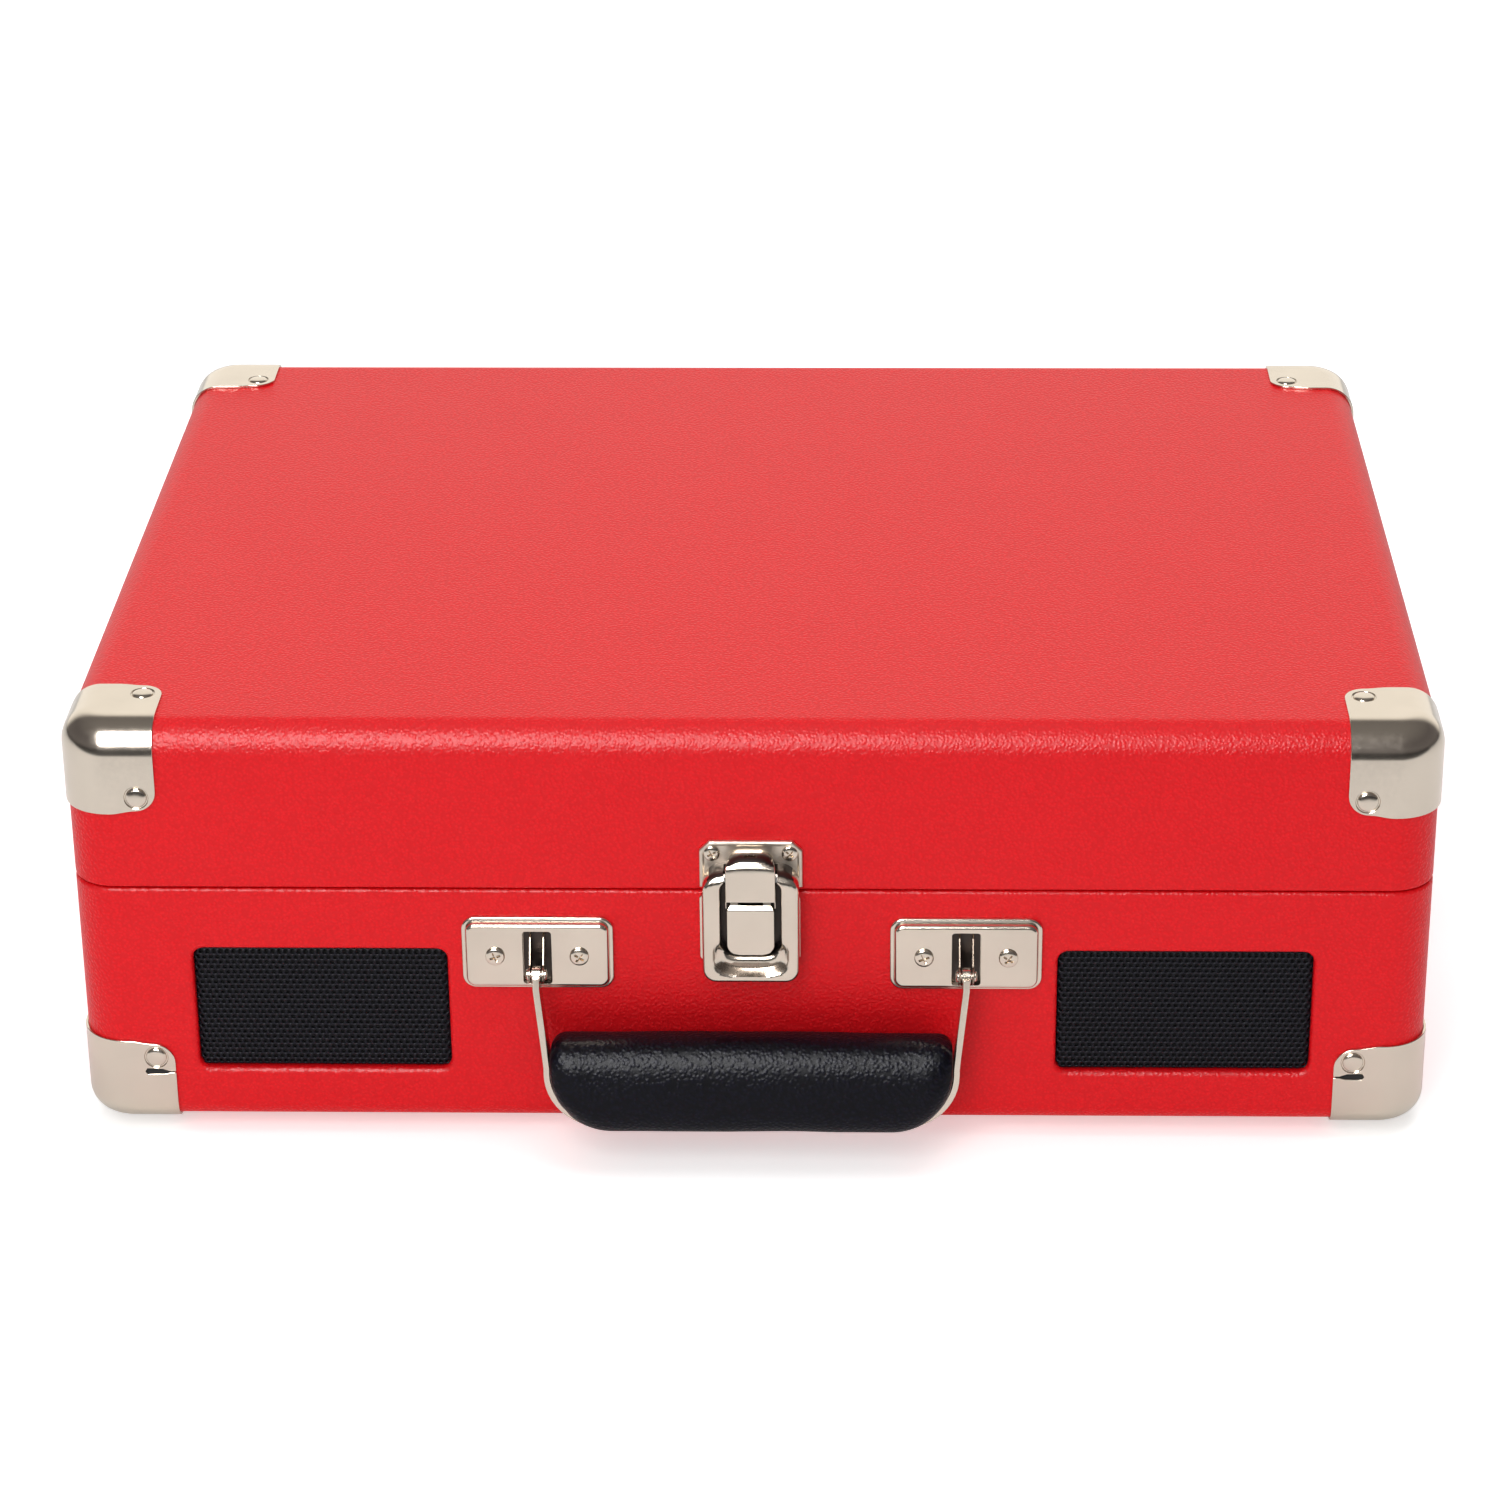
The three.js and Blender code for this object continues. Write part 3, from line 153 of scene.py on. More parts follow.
def skin(rings, loop=False):
    """Rings of as many points each, joined in order: (vertices, faces). Its ends are closed, or joined."""
    count = len(rings[0])
    vertices = [point for ring in rings for point in ring]
    faces = []
    last = len(rings) if loop else len(rings) - 1
    for r in range(last):
        a = r * count
        b = ((r + 1) % len(rings)) * count
        for i in range(count):
            j = (i + 1) % count
            faces.append((a + i, a + j, b + j, b + i))
    if not loop:
        faces.append(tuple(range(count)))
        faces.append(tuple((len(rings) - 1) * count + i for i in range(count)))
    return vertices, faces


def stack(outline, levels, place=upright, loop=False):
    """Rings of an outline, at (inset, height) levels, as one closed skin."""
    rings = [[place(u, v, height) for u, v in outline(inset)] for inset, height in levels]
    return skin(rings, loop=loop)


def roll(radius, height, inset=0, steps=5, up=1):
    """Levels of a quarter round that turns an upright wall into a flat face at a height."""
    return [
        (inset + radius * (1 - math.cos(a)), height - up * radius * (1 - math.sin(a)))
        for a in quarter_turn(steps)
    ]


def plate(low, high, edge, steps=3):
    """Levels of a plate from a low face to a high one, with both its edges rounded."""
    under = roll(edge, low, steps=steps, up=-1)
    return under[::-1] + roll(edge, high, steps=steps)


def lathe(profile, x, y, steps, place=upright, loop=False):
    """A profile of (radius, height) turned about an axis at x, y; loop is for one right round a hole."""
    rings = []
    for radius, height in profile:
        rings.append([place(u, v, height) for u, v in circle(x, y, radius, steps)()])
    return skin(rings, loop=loop)


def ribbon(stations, edge, steps=3):
    """A strip through stations of (centre, across, normal, half width, half thickness)."""
    rings = []
    for centre, across, normal, half_width, half_thickness in stations:
        section = rounded(-half_width, half_width, -half_thickness, half_thickness, edge, steps)()
        rings.append([centre + across * u + normal * v for u, v in section])
    return skin(rings)


def merged(*parts):
    """Several parts as one."""
    vertices, faces = [], []
    for part_vertices, part_faces in parts:
        start = len(vertices)
        vertices += part_vertices
        faces += [tuple(start + i for i in face) for face in part_faces]
    return vertices, faces


def moved(part, matrix):
    vertices, faces = part
    return [matrix @ v for v in vertices], faces


def mesh_object(name, part):
    vertices, faces = part
    mesh = bpy.data.meshes.new(name)
    mesh.from_pydata([v * MM for v in vertices], [], faces)
    mesh.update()
    work = bmesh.new()
    work.from_mesh(mesh)
    bmesh.ops.remove_doubles(work, verts=work.verts, dist=1e-7)
    bmesh.ops.dissolve_degenerate(work, edges=work.edges, dist=1e-8)
    bmesh.ops.recalc_face_normals(work, faces=work.faces)
    work.to_mesh(mesh)
    work.free()
    piece = bpy.data.objects.new(name, mesh)
    bpy.context.scene.collection.objects.link(piece)
    return piece


def carve(piece, part, operation="DIFFERENCE"):
    """Cuts a part out of a piece, or keeps only what is in both."""
    tool = mesh_object("tool", part)
    change = piece.modifiers.new("carve", "BOOLEAN")
    change.operation = operation
    change.solver = "MANIFOLD"
    change.object = tool
    bpy.context.view_layer.update()
    seen = piece.evaluated_get(bpy.context.evaluated_depsgraph_get())
    result = bpy.data.meshes.new_from_object(seen)
    piece.modifiers.clear()
    old = piece.data
    piece.data = result
    bpy.data.meshes.remove(old)
    spare = tool.data
    bpy.data.objects.remove(tool)
    bpy.data.meshes.remove(spare)


def shade(piece, angle, bevel):
    """Smooth shading up to an angle, with the sharp edges rounded a little."""
    mesh = piece.data
    mesh.polygons.foreach_set("use_smooth", [True] * len(mesh.polygons))
    mesh.set_sharp_from_angle(angle=math.radians(angle))
    if bevel:
        round_edges = piece.modifiers.new("edges", "BEVEL")
        round_edges.width = bevel * MM
        round_edges.segments = 2
        round_edges.limit_method = "ANGLE"
        round_edges.angle_limit = math.radians(angle)
        round_edges.harden_normals = False
    weights = piece.modifiers.new("normals", "WEIGHTED_NORMAL")
    weights.keep_sharp = True


def settle(piece, look, body, slot, replaces=(), painted=None, angle=35, bevel=0):
    """Gives a finished mesh its material, its CAD body and the nodes that it stands for. Where look
    is a list, painted has the number of each face's material in it."""
    looks = look if isinstance(look, list) else [look]
    piece.data.materials.clear()
    for one in looks:
        piece.data.materials.append(one)
    if painted:
        piece.data.polygons.foreach_set("material_index", painted)
    shade(piece, angle, bevel)
    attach(piece, body)
    if replaces:
        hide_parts(*replaces)


def make(name, part, look, body, slot, **how):
    settle(mesh_object(name, part), look, body, slot, **how)


# ---- materials -----------------------------------------------------------------------------

def new_material(name):
    material = bpy.data.materials.new(name)
    material.use_nodes = True
    tree = material.node_tree
    return material, tree, tree.nodes["Principled BSDF"]


def add_node(tree, kind, inputs=None, **settings):
    """A node with its settings, and its inputs as values or as other nodes' outputs."""
    made = tree.nodes.new(kind)
    for key, value in settings.items():
        setattr(made, key, value)
    for key, value in (inputs or {}).items():
        if isinstance(value, bpy.types.NodeSocket):
            tree.links.new(value, made.inputs[key])
        else:
            made.inputs[key].default_value = value
    return made


def ramp(tree, factor, stops):
    made = add_node(tree, "ShaderNodeValToRGB", {"Fac": factor})
    elements = made.color_ramp.elements
    while len(elements) < len(stops):
        elements.new(0.5)
    for element, (position, colour) in zip(elements, stops):
        element.position = position
        element.color = (*colour, 1)
    return made.outputs["Color"]


def mixed(tree, factor, first, second):
    """The first colour at a factor of 0, the second at 1."""
    inputs = {"Factor": factor, 6: first, 7: second}
    return add_node(tree, "ShaderNodeMix", inputs, data_type="RGBA").outputs[2]


def place_of(tree):
    return add_node(tree, "ShaderNodeTexCoord").outputs["Object"]


def noise(tree, size, detail=2, vector=None, roughness=0.5):
    """Noise whose features are about size millimetres across."""
    where = vector or place_of(tree)
    inputs = {"Vector": where, "Scale": 1 / (size * MM), "Detail": detail, "Roughness": roughness}
    return add_node(tree, "ShaderNodeTexNoise", inputs).outputs["Fac"]


def spread(tree, value, low, high):
    """A noise's middle range, spread over the range from low to high."""
    inputs = {"Value": value, "From Min": 0.3, "From Max": 0.7, "To Min": low, "To Max": high}
    return add_node(tree, "ShaderNodeMapRange", inputs).outputs["Result"]


def bump(tree, shader, height, distance, strength, under=None):
    inputs = {"Height": height, "Distance": distance * MM, "Strength": strength}
    if under is not None:
        inputs["Normal"] = under
    made = add_node(tree, "ShaderNodeBump", inputs)
    tree.links.new(made.outputs["Normal"], shader.inputs["Normal"])
    return made.outputs["Normal"]


WANDER_SIZE = 2.2  # of the noise that bends the rows of pebbles, in pebbles
WANDER_REACH = 0.55
PORE_SIZE = 0.22
PATCH_SIZE = 24


def leatherette(name, valley, hill, worn, pebble, depth, gloss, specular):
    """Pebbled covering: rounded pebbles with darker valleys, fine pores and slow colour change."""
    material, tree, shader = new_material(name)
    where = place_of(tree)
    wander = add_node(
        tree,
        "ShaderNodeTexNoise",
        {"Vector": where, "Scale": 1 / (pebble * WANDER_SIZE * MM)},
    )
    bent = add_node(
        tree,
        "ShaderNodeVectorMath",
        {0: wander.outputs["Color"], 1: (pebble * MM * WANDER_REACH,) * 3},
        operation="MULTIPLY",
    )
    shifted = add_node(tree, "ShaderNodeVectorMath", {0: where, 1: bent.outputs["Vector"]})
    cells = add_node(
        tree,
        "ShaderNodeTexVoronoi",
        {"Vector": shifted.outputs["Vector"], "Scale": 1 / (pebble * MM), "Smoothness": 0.6},
        feature="SMOOTH_F1",
    )
    pebbles = ramp(tree, cells.outputs["Distance"], [(0.1, (1, 1, 1)), (0.62, (0, 0, 0))])
    pores = noise(tree, pebble * PORE_SIZE, 3)
    patches = noise(tree, PATCH_SIZE, 2)
    body = mixed(tree, pebbles, (*valley, 1), (*hill, 1))
    amount = spread(tree, patches, 0.0, 0.10)
    tree.links.new(mixed(tree, amount, body, (*worn, 1)), shader.inputs["Base Color"])
    tree.links.new(spread(tree, pores, gloss - 0.06, gloss + 0.08), shader.inputs["Roughness"])
    shader.inputs["Specular IOR Level"].default_value = specular
    under = bump(tree, shader, pores, depth * 0.35, 0.5)
    bump(tree, shader, pebbles, depth, 0.6, under)
    return material


def metal(name, colour, gloss, wear=0.05, brushed=(1, 1, 1)):
    """Plated or bare metal: slow tint changes, hairline scratches and a slightly uneven polish."""
    material, tree, shader = new_material(name)
    where = place_of(tree)
    shader.inputs["Metallic"].default_value = 1
    hair = add_node(tree, "ShaderNodeMapping", {"Vector": where, "Scale": brushed})
    scratches = noise(tree, 1.4, 4, hair.outputs["Vector"], 0.65)
    clouds = noise(tree, 14, 3)
    darker = tuple(c * 0.93 for c in colour)
    tint = ramp(tree, clouds, [(0.3, darker), (0.7, colour)])
    tree.links.new(tint, shader.inputs["Base Color"])
    tree.links.new(spread(tree, scratches, gloss, gloss + wear), shader.inputs["Roughness"])
    bump(tree, shader, scratches, 0.02, 0.35)
    return material


def plastic(name, colour, gloss, grain=0.5, depth=0.02, specular=0.5):
    """Moulded plastic, rubber or paint: a fine grain in its colour, gloss and surface."""
    material, tree, shader = new_material(name)
    fine = noise(tree, grain, 3)
    lighter = tuple(min(c * 1.5 + 0.004, 1) for c in colour)
    tree.links.new(ramp(tree, fine, [(0.35, colour), (0.7, lighter)]), shader.inputs["Base Color"])
    tree.links.new(spread(tree, fine, gloss - 0.05, gloss + 0.08), shader.inputs["Roughness"])
    bump(tree, shader, fine, depth, 0.5)
    shader.inputs["Specular IOR Level"].default_value = specular
    return material


RED = leatherette(
    "red_leatherette",
    valley=(0.68, 0.0030, 0.0075), hill=(0.80, 0.0045, 0.0095), worn=(0.82, 0.006, 0.010),
    pebble=0.85, depth=0.18, gloss=0.35, specular=0.20,
)
BLACK_HIDE = leatherette(
    "black_leatherette",
    valley=(0.001, 0.001, 0.003), hill=(0.003, 0.003, 0.0105), worn=(0.0045, 0.005, 0.013),
    pebble=1.05, depth=0.17, gloss=0.36, specular=0.13,
)
DECK_HIDE = leatherette(
    "deck_leatherette",
    valley=(0.007, 0.007, 0.008), hill=(0.015, 0.015, 0.017), worn=(0.020, 0.020, 0.022),
    pebble=0.95, depth=0.12, gloss=0.42, specular=0.35,
)
LINING = plastic("black_lining", (0.012, 0.012, 0.013), 0.8, 0.8, 0.06)
NICKEL = metal("nickel", (0.68, 0.60, 0.51), 0.15)
SATIN_NICKEL = metal("satin_nickel", (0.68, 0.60, 0.51), 0.30, 0.08)
# Painted shade: a darker, slightly rougher copy of the nickel; its darker colour paints shade in the
# latch's finger scoop and on the handle bracket ears.
SHADED_NICKEL = metal("painted_shade_nickel", (0.30, 0.24, 0.19), 0.24, 0.06)
STEEL = metal("steel", (0.62, 0.61, 0.60), 0.28, 0.1, (1, 1, 0.08))
# Painted shade: a near-black steel that darkens the latch's pocket, the upward faces of its roof and claw,
# and the bracket channels.
SHADE_STEEL = metal("painted_shade_steel", (0.06, 0.05, 0.045), 0.35)
BLACK_SHEET = plastic("black_sheet", (0.006, 0.006, 0.010), 0.42, 0.4, specular=0.12)
BLACK_PLASTIC = plastic("black_plastic", (0.010, 0.010, 0.011), 0.42, 0.5)
SATIN_BLACK = plastic("satin_black", (0.014, 0.014, 0.016), 0.3, 1.2, 0.01)
RUBBER = plastic("rubber", (0.014, 0.014, 0.015), 0.75, 0.7, 0.05)
DUST_CLOTH = plastic("dust_cloth", (0.004, 0.004, 0.005), 0.95, 0.35, 0.1)
BOARD_GREEN = plastic("circuit_board", (0.012, 0.12, 0.04), 0.4, 1.5, 0.02)
RED_PLASTIC = plastic("red_plastic", (0.55, 0.012, 0.012), 0.25, 1.0, 0.005)
WHITE_PLASTIC = plastic("white_plastic", (0.75, 0.75, 0.72), 0.35, 1.0, 0.005)
CONE_PAPER = plastic("cone_paper", (0.02, 0.02, 0.02), 0.85, 0.9, 0.08)


# ---- the camera, the light and the floor ---------------------------------------------------

CAMERA = {"x": 30.75, "ahead": 978.3, "up": 583.3}  # from the case's middle, front and bottom
CAMERA_LENS = 102.0
CAMERA_SENSOR = 36.0
CAMERA_PITCH = math.radians(25.12)
CAMERA_YAW = math.radians(-1.341)
CAMERA_ROLL = math.radians(-0.407)
CAMERA_SHIFT = (-0.02, -0.0333)


def make_camera():
    data = bpy.data.cameras.new("camera")
    data.lens = CAMERA_LENS
    data.sensor_width = CAMERA_SENSOR
    data.shift_x, data.shift_y = CAMERA_SHIFT
    data.clip_start = 0.05
    data.clip_end = 30
    camera = bpy.data.objects.new("camera", data)
    level = math.cos(CAMERA_PITCH)
    ahead = Vector(
        (math.sin(CAMERA_YAW) * level, math.cos(CAMERA_YAW) * level, -math.sin(CAMERA_PITCH))
    )
    side = Vector((math.cos(CAMERA_YAW), -math.sin(CAMERA_YAW), 0))
    above = side.cross(ahead)
    right = side * math.cos(CAMERA_ROLL) + above * math.sin(CAMERA_ROLL)
    up = above * math.cos(CAMERA_ROLL) - side * math.sin(CAMERA_ROLL)
    turn = Matrix((right, up, -ahead)).transposed().to_4x4()
    spot = Vector((CAMERA["x"], FRONT - CAMERA["ahead"], CASE_BOTTOM + CAMERA["up"])) * MM
    camera.matrix_world = Matrix.Translation(spot) @ turn
    bpy.context.scene.collection.objects.link(camera)
    bpy.context.scene.camera = camera


def area_light(name, spot, target, size, power, reflected):
    """A soft rectangle of light that the camera can't see: one that shiny pieces show, or one that
    only lights them."""
    data = bpy.data.lights.new(name, "AREA")
    data.shape = "RECTANGLE"
    data.size, data.size_y = size
    data.energy = power
    light = bpy.data.objects.new(name, data)
    light.location = spot
    light.rotation_euler = (Vector(target) - Vector(spot)).to_track_quat("-Z", "Y").to_euler()
    light.visible_camera = False
    light.visible_glossy = reflected
    light.visible_diffuse = not reflected
    bpy.context.scene.collection.objects.link(light)


KEY_TARGET = (-0.33, -0.13, 0.10)
KEY_SIZE = (0.58, 1.06)


def make_lights():
    """A key light in front and one overhead. The key's light and its shine have a power each, and
    the shine stands a little in front, since only the nearer of two is seen in shiny pieces."""
    area_light("key_shine", (-0.33, -1.14, 0.92), KEY_TARGET, KEY_SIZE, 42, True)
    area_light("key", (-0.33, -1.18, 0.95), KEY_TARGET, KEY_SIZE, 8.5, False)
    area_light("overhead", (0.1, 0.2, 1.9), (0, 0.05, 0.1), (1.6, 1.3), 20, False)


WALL_LOW, WALL_HIGH = 0.50, 0.78  # how far round the bright wall behind the case fades in
WALL_COLOUR = (1.23, 1.20, 1.12, 1)
ROOM_COLOURS = [
    (0.0, (0.05, 0.045, 0.045)),
    (0.12, (0.16, 0.15, 0.15)),
    (0.5, (0.13, 0.12, 0.12)),
    (1.0, (0.22, 0.21, 0.20)),
]  # from the horizon up
SOFT_LIGHT = 0.34


def make_world():
    """White to the camera and soft white light on everything. Shiny pieces see a bright wall behind
    the case and a dark room elsewhere."""
    world = bpy.data.worlds.new("studio")
    bpy.context.scene.world = world
    world.use_nodes = True
    tree = world.node_tree
    tree.nodes.clear()
    way = add_node(tree, "ShaderNodeTexCoord").outputs["Generated"]
    parts = add_node(tree, "ShaderNodeSeparateXYZ", {"Vector": way})
    behind = add_node(
        tree,
        "ShaderNodeMapRange",
        {"Value": parts.outputs["Y"], "From Min": WALL_LOW, "From Max": WALL_HIGH},
        interpolation_type="SMOOTHSTEP",
    )
    room = ramp(tree, parts.outputs["Z"], ROOM_COLOURS)
    seen = mixed(tree, behind.outputs["Result"], room, WALL_COLOUR)
    reflected = add_node(tree, "ShaderNodeBackground", {"Color": seen, "Strength": 1.0})
    white = add_node(tree, "ShaderNodeBackground", {"Color": (1, 1, 1, 1), "Strength": 1.0})
    soft = add_node(tree, "ShaderNodeBackground", {"Color": (1, 1, 1, 1), "Strength": SOFT_LIGHT})
    rays = add_node(tree, "ShaderNodeLightPath")
    lit = add_node(
        tree,
        "ShaderNodeMixShader",
        {0: rays.outputs["Is Glossy Ray"], 1: soft.outputs[0], 2: reflected.outputs[0]},
    )
    both = add_node(
        tree,
        "ShaderNodeMixShader",
        {0: rays.outputs["Is Camera Ray"], 1: lit.outputs[0], 2: white.outputs[0]},
    )
    add_node(tree, "ShaderNodeOutputWorld", {"Surface": both.outputs[0]})


TABLE_EDGE = 290  # how far in front of the case the table still shows in shiny pieces
TABLE_FADE = 0.05  # metres on either side of that
TABLE_SHINE = 0.85  # how bright the table shows in shiny pieces
TABLE_GLOW = 0.20
TABLE_GLOW_SEEN = 0.30  # the camera sees so much more of it


def make_floor():
    """A pale table; shiny pieces see it end in the dark, a little way in front of the case."""
    part = stack(rounded(-4000, 4000, -4000, 4000, 200), [(0, -20), (0, 0)])
    floor = mesh_object("floor", part)
    material, tree, shader = new_material("floor")
    tone = ramp(tree, noise(tree, 60, 3), [(0.3, (0.93, 0.93, 0.93)), (0.7, (0.96, 0.96, 0.96))])
    parts = add_node(tree, "ShaderNodeSeparateXYZ", {"Vector": place_of(tree)})
    edge = (FRONT - TABLE_EDGE) * MM
    fade = {"From Min": edge - TABLE_FADE, "From Max": edge + TABLE_FADE}
    near = add_node(
        tree,
        "ShaderNodeMapRange",
        {"Value": parts.outputs["Y"], **fade, "To Min": 0.05, "To Max": TABLE_SHINE},
    )
    rays = add_node(tree, "ShaderNodeLightPath")
    shown = add_node(
        tree,
        "ShaderNodeMix",
        {"Factor": rays.outputs["Is Glossy Ray"], "A": 1.0, "B": near.outputs["Result"]},
    )
    lit = add_node(tree, "ShaderNodeVectorMath", {0: tone, "Scale": shown.outputs[0]}, operation="SCALE")
    tree.links.new(lit.outputs["Vector"], shader.inputs["Base Color"])
    tree.links.new(lit.outputs["Vector"], shader.inputs["Emission Color"])
    glow = add_node(
        tree,
        "ShaderNodeMath",
        {0: rays.outputs["Is Camera Ray"], 1: TABLE_GLOW_SEEN, 2: TABLE_GLOW},
        operation="MULTIPLY_ADD",
    )
    tree.links.new(glow.outputs[0], shader.inputs["Emission Strength"])
    shader.inputs["Specular IOR Level"].default_value = 0.0
    shader.inputs["Roughness"].default_value = 0.9
    floor.data.materials.append(material)


# ---- the case ------------------------------------------------------------------------------

GRILLE_LOW, GRILLE_HIGH = corners("grille_right")
WINDOW_GAP = 0.3  # between the grille and its window
WINDOW_CORNER = 3.0
LIP = 1.5  # radius of the covering's roll into the window


def window_outline(side, grow):
    x0 = GRILLE_LOW.x - WINDOW_GAP
    x1 = GRILLE_HIGH.x + WINDOW_GAP
    z0 = GRILLE_LOW.z - WINDOW_GAP
    z1 = GRILLE_HIGH.z + WINDOW_GAP
    if side < 0:
        x0, x1 = -x1, -x0
    return rounded(x0 - grow, x1 + grow, z0 - grow, z1 + grow, WINDOW_CORNER + grow)


def case_outline(grow=0):
    return rounded(-HALF_X - grow, HALF_X + grow, FRONT - grow, BACK + grow, CASE_CORNER + grow, 14)


def wall_levels(rim, floor, flat, edge, up):
    """Levels of half a case, from its inner face over the rim and down the outside to its flat face."""
    inside = [(CASE_WALL, floor), (CASE_WALL, rim + up * RIM_ROLL)]
    over = [(CASE_WALL - h, z) for h, z in roll(RIM_ROLL, rim, up=-up)[1:]]
    out = roll(RIM_ROLL, rim, up=-up)[::-1]
    edge_round = roll(edge, flat, steps=10, up=up)
    return inside + over + out + edge_round


def is_lined(face, flat):
    """Whether a face of a shell is one of its inner walls, or its inner floor."""
    spot = face.center / MM
    deep = min(HALF_X - abs(spot.x), spot.y - FRONT, BACK - spot.y)
    on_wall = deep > CASE_WALL - 0.11 and len(face.vertices) == 4 and abs(face.normal.z) < 0.5
    on_floor = abs(face.normal.z) > 0.9 and len(face.vertices) > 4 and abs(spot.z - flat) > 2
    return on_wall or on_floor


def open_base(piece):
    """Cuts the speaker windows and the opening for the rear sockets."""
    for side in (-1, 1):
        window = window_outline(side, LIP)
        carve(piece, stack(window, [(0, -3), (0, 9)], lambda u, v, depth: on_front(u, v, -depth)))
    low, high = corners("socket_panel")
    gap = WINDOW_GAP
    opening = rounded(low.x - gap, high.x + gap, low.z - gap, high.z + gap, 0.6, 3)
    carve(piece, stack(opening, [(0, BACK - 9), (0, BACK + 3)], at_depth))


def add_case():
    base = wall_levels(BASE_HIGH.z, CASE_BOTTOM + CASE_FLOOR, CASE_BOTTOM, BASE_EDGE, -1)
    lid = wall_levels(LID_LOW.z, CASE_TOP - CASE_FLOOR, CASE_TOP, LID_EDGE, 1)
    for body, levels, flat in (("base", base, CASE_BOTTOM), ("lid", lid, CASE_TOP)):
        piece = mesh_object(f"{body}_case", stack(case_outline(), levels))
        for face in piece.data.polygons:
            face.material_index = int(is_lined(face, flat))
        if body == "base":
            open_base(piece)
        painted = [face.material_index for face in piece.data.polygons]
        node = f"{body}_shell"
        settle(piece, [RED, LINING], body, "red_leatherette", replaces=[node], painted=painted, angle=32)


def add_window_lips():
    """The covering's roll into the windows, and its flat inner side."""
    for hand, side in HANDS:
        round_in = [(LIP * math.sin(a), -LIP * (1 - math.cos(a))) for a in quarter_turn(7)]
        levels = round_in + [(LIP, -CASE_WALL + 0.2), (0.05, -CASE_WALL + 0.2)]
        part = stack(window_outline(side, LIP), levels, on_front, loop=True)
        make(f"window_lip_{hand}", part, RED, "base", "red_leatherette", angle=50)


# ---- the speaker grilles -------------------------------------------------------------------

HOLE_PITCH = 1.72
HOLE_RADIUS = 0.64
SHEET_THICKNESS = 0.6
SHEET_ROLL = 1.6  # width of the sheet's rounded border
SHEET_DROP = 1.3  # how far the border turns back
SHEET_SPARE = 1.6  # how far the sheet goes on behind the window's edge


def perforated_cells(u0, u1, v0, v1):
    """A staggered field of hexagonal cells, each with a round hole in it."""
    row_height = HOLE_PITCH * math.sqrt(3) / 2
    reach = HOLE_PITCH / math.sqrt(3)
    rows = int((v1 - v0) / row_height)
    columns = int((u1 - u0) / HOLE_PITCH)
    start_v = (v0 + v1) / 2 - row_height * (rows - 1) / 2
    start_u = (u0 + u1) / 2 - HOLE_PITCH * (columns - 0.5) / 2
    index, vertices, faces = {}, [], []

    def vertex(u, v):
        key = (round(u, 3), round(v, 3))
        if key not in index:
            index[key] = len(vertices)
            vertices.append((u, v))
        return index[key]

    for row in range(rows):
        for column in range(columns):
            cu = start_u + HOLE_PITCH * (column + 0.5 * (row % 2))
            cv = start_v + row_height * row
            rim, hole = [], []
            for k in range(12):
                a = math.radians(30 * k + 30)
                far = reach if k % 2 == 0 else reach * math.cos(math.pi / 6)
                rim.append(vertex(cu + far * math.cos(a), cv + far * math.sin(a)))
                hole.append(vertex(cu + HOLE_RADIUS * math.cos(a), cv + HOLE_RADIUS * math.sin(a)))
            for k in range(12):
                j = (k + 1) % 12
                faces.append((rim[k], rim[j], hole[j], hole[k]))
    return vertices, faces


def rolled_sheet(u, v, low, high, face):
    """A place on a grille, which turns back along its border."""
    from_edge = min(u - low.x, high.x - u, v - low.z, high.z - v)
    t = min(max(1 - from_edge / SHEET_ROLL, 0), 1)
    return on_front(u, v, face - SHEET_DROP * (1 - math.sqrt(1 - t * t)))


def add_grilles():
    face = FRONT - GRILLE_LOW.y
    for hand in ("left", "right"):
        low, high = corners(f"grille_{hand}")
        field = (low.x - SHEET_SPARE, high.x + SHEET_SPARE, low.z - SHEET_SPARE, high.z + SHEET_SPARE)
        flat, faces = perforated_cells(*field)
        rolled = [rolled_sheet(u, v, low, high, face) for u, v in flat]
        piece = mesh_object(f"perforated_{hand}", (rolled, faces))
        thick = piece.modifiers.new("sheet", "SOLIDIFY")
        thick.thickness = SHEET_THICKNESS * MM
        thick.offset = 0
        settle(piece, BLACK_SHEET, "base", "black_sheet", replaces=[f"grille_{hand}"])
        part = stack(rounded(*field, 2, 3), [(0, face - 2.4), (0, face - 2.1)], on_front)
        make(f"dust_cloth_{hand}", part, DUST_CLOTH, "base", "black_sheet")


# ---- corner guards -------------------------------------------------------------------------

GUARD = {"reach_x": 24.6, "reach_y": 25.4, "reach_z": 24.4, "lobe": 5.6, "sheet": 0.8, "dip": 0.9}
NAIL = {"inset": 19.6, "radius": 2.75, "rise": 0.85, "pit": 0.35}
BEYOND = 12  # how far a lobe's cutting outline goes past the case
SLIT = (
    (30, 14.95), (23, 14.9), (21.5, 14.5), (17.2, 14.4), (16.4, 15.2),
    (17, 16.2), (21, 16.0), (23, 15.3), (30, 15.25),
)  # distances from the side and from the flat face


def lobe(reach_a, reach_b):
    """One lobe of a guard, as distances inwards from the two faces beside it."""
    r = GUARD["lobe"]
    low_b = reach_b - GUARD["dip"]
    points = [(-BEYOND, -BEYOND), (reach_a, -BEYOND), (reach_a, low_b - r)]
    for a in quarter_turn(10)[1:]:
        points.append((reach_a - r + r * math.cos(a), low_b - r + r * math.sin(a)))
    for i in range(1, 9):
        a = reach_a - r - i * 0.9
        points.append((a, low_b + GUARD["dip"] * smooth(reach_a - r - a, 0, 6.5)))
    points.append((-BEYOND, reach_b))
    return points


def case_form(grow, edge, flat, far, up):
    """The outer form of half a case, grown, from a height far inside it to its flat face."""
    levels = [(0, far)] + roll(edge + grow, flat + up * grow, steps=12, up=up)
    return stack(case_outline(grow), levels)


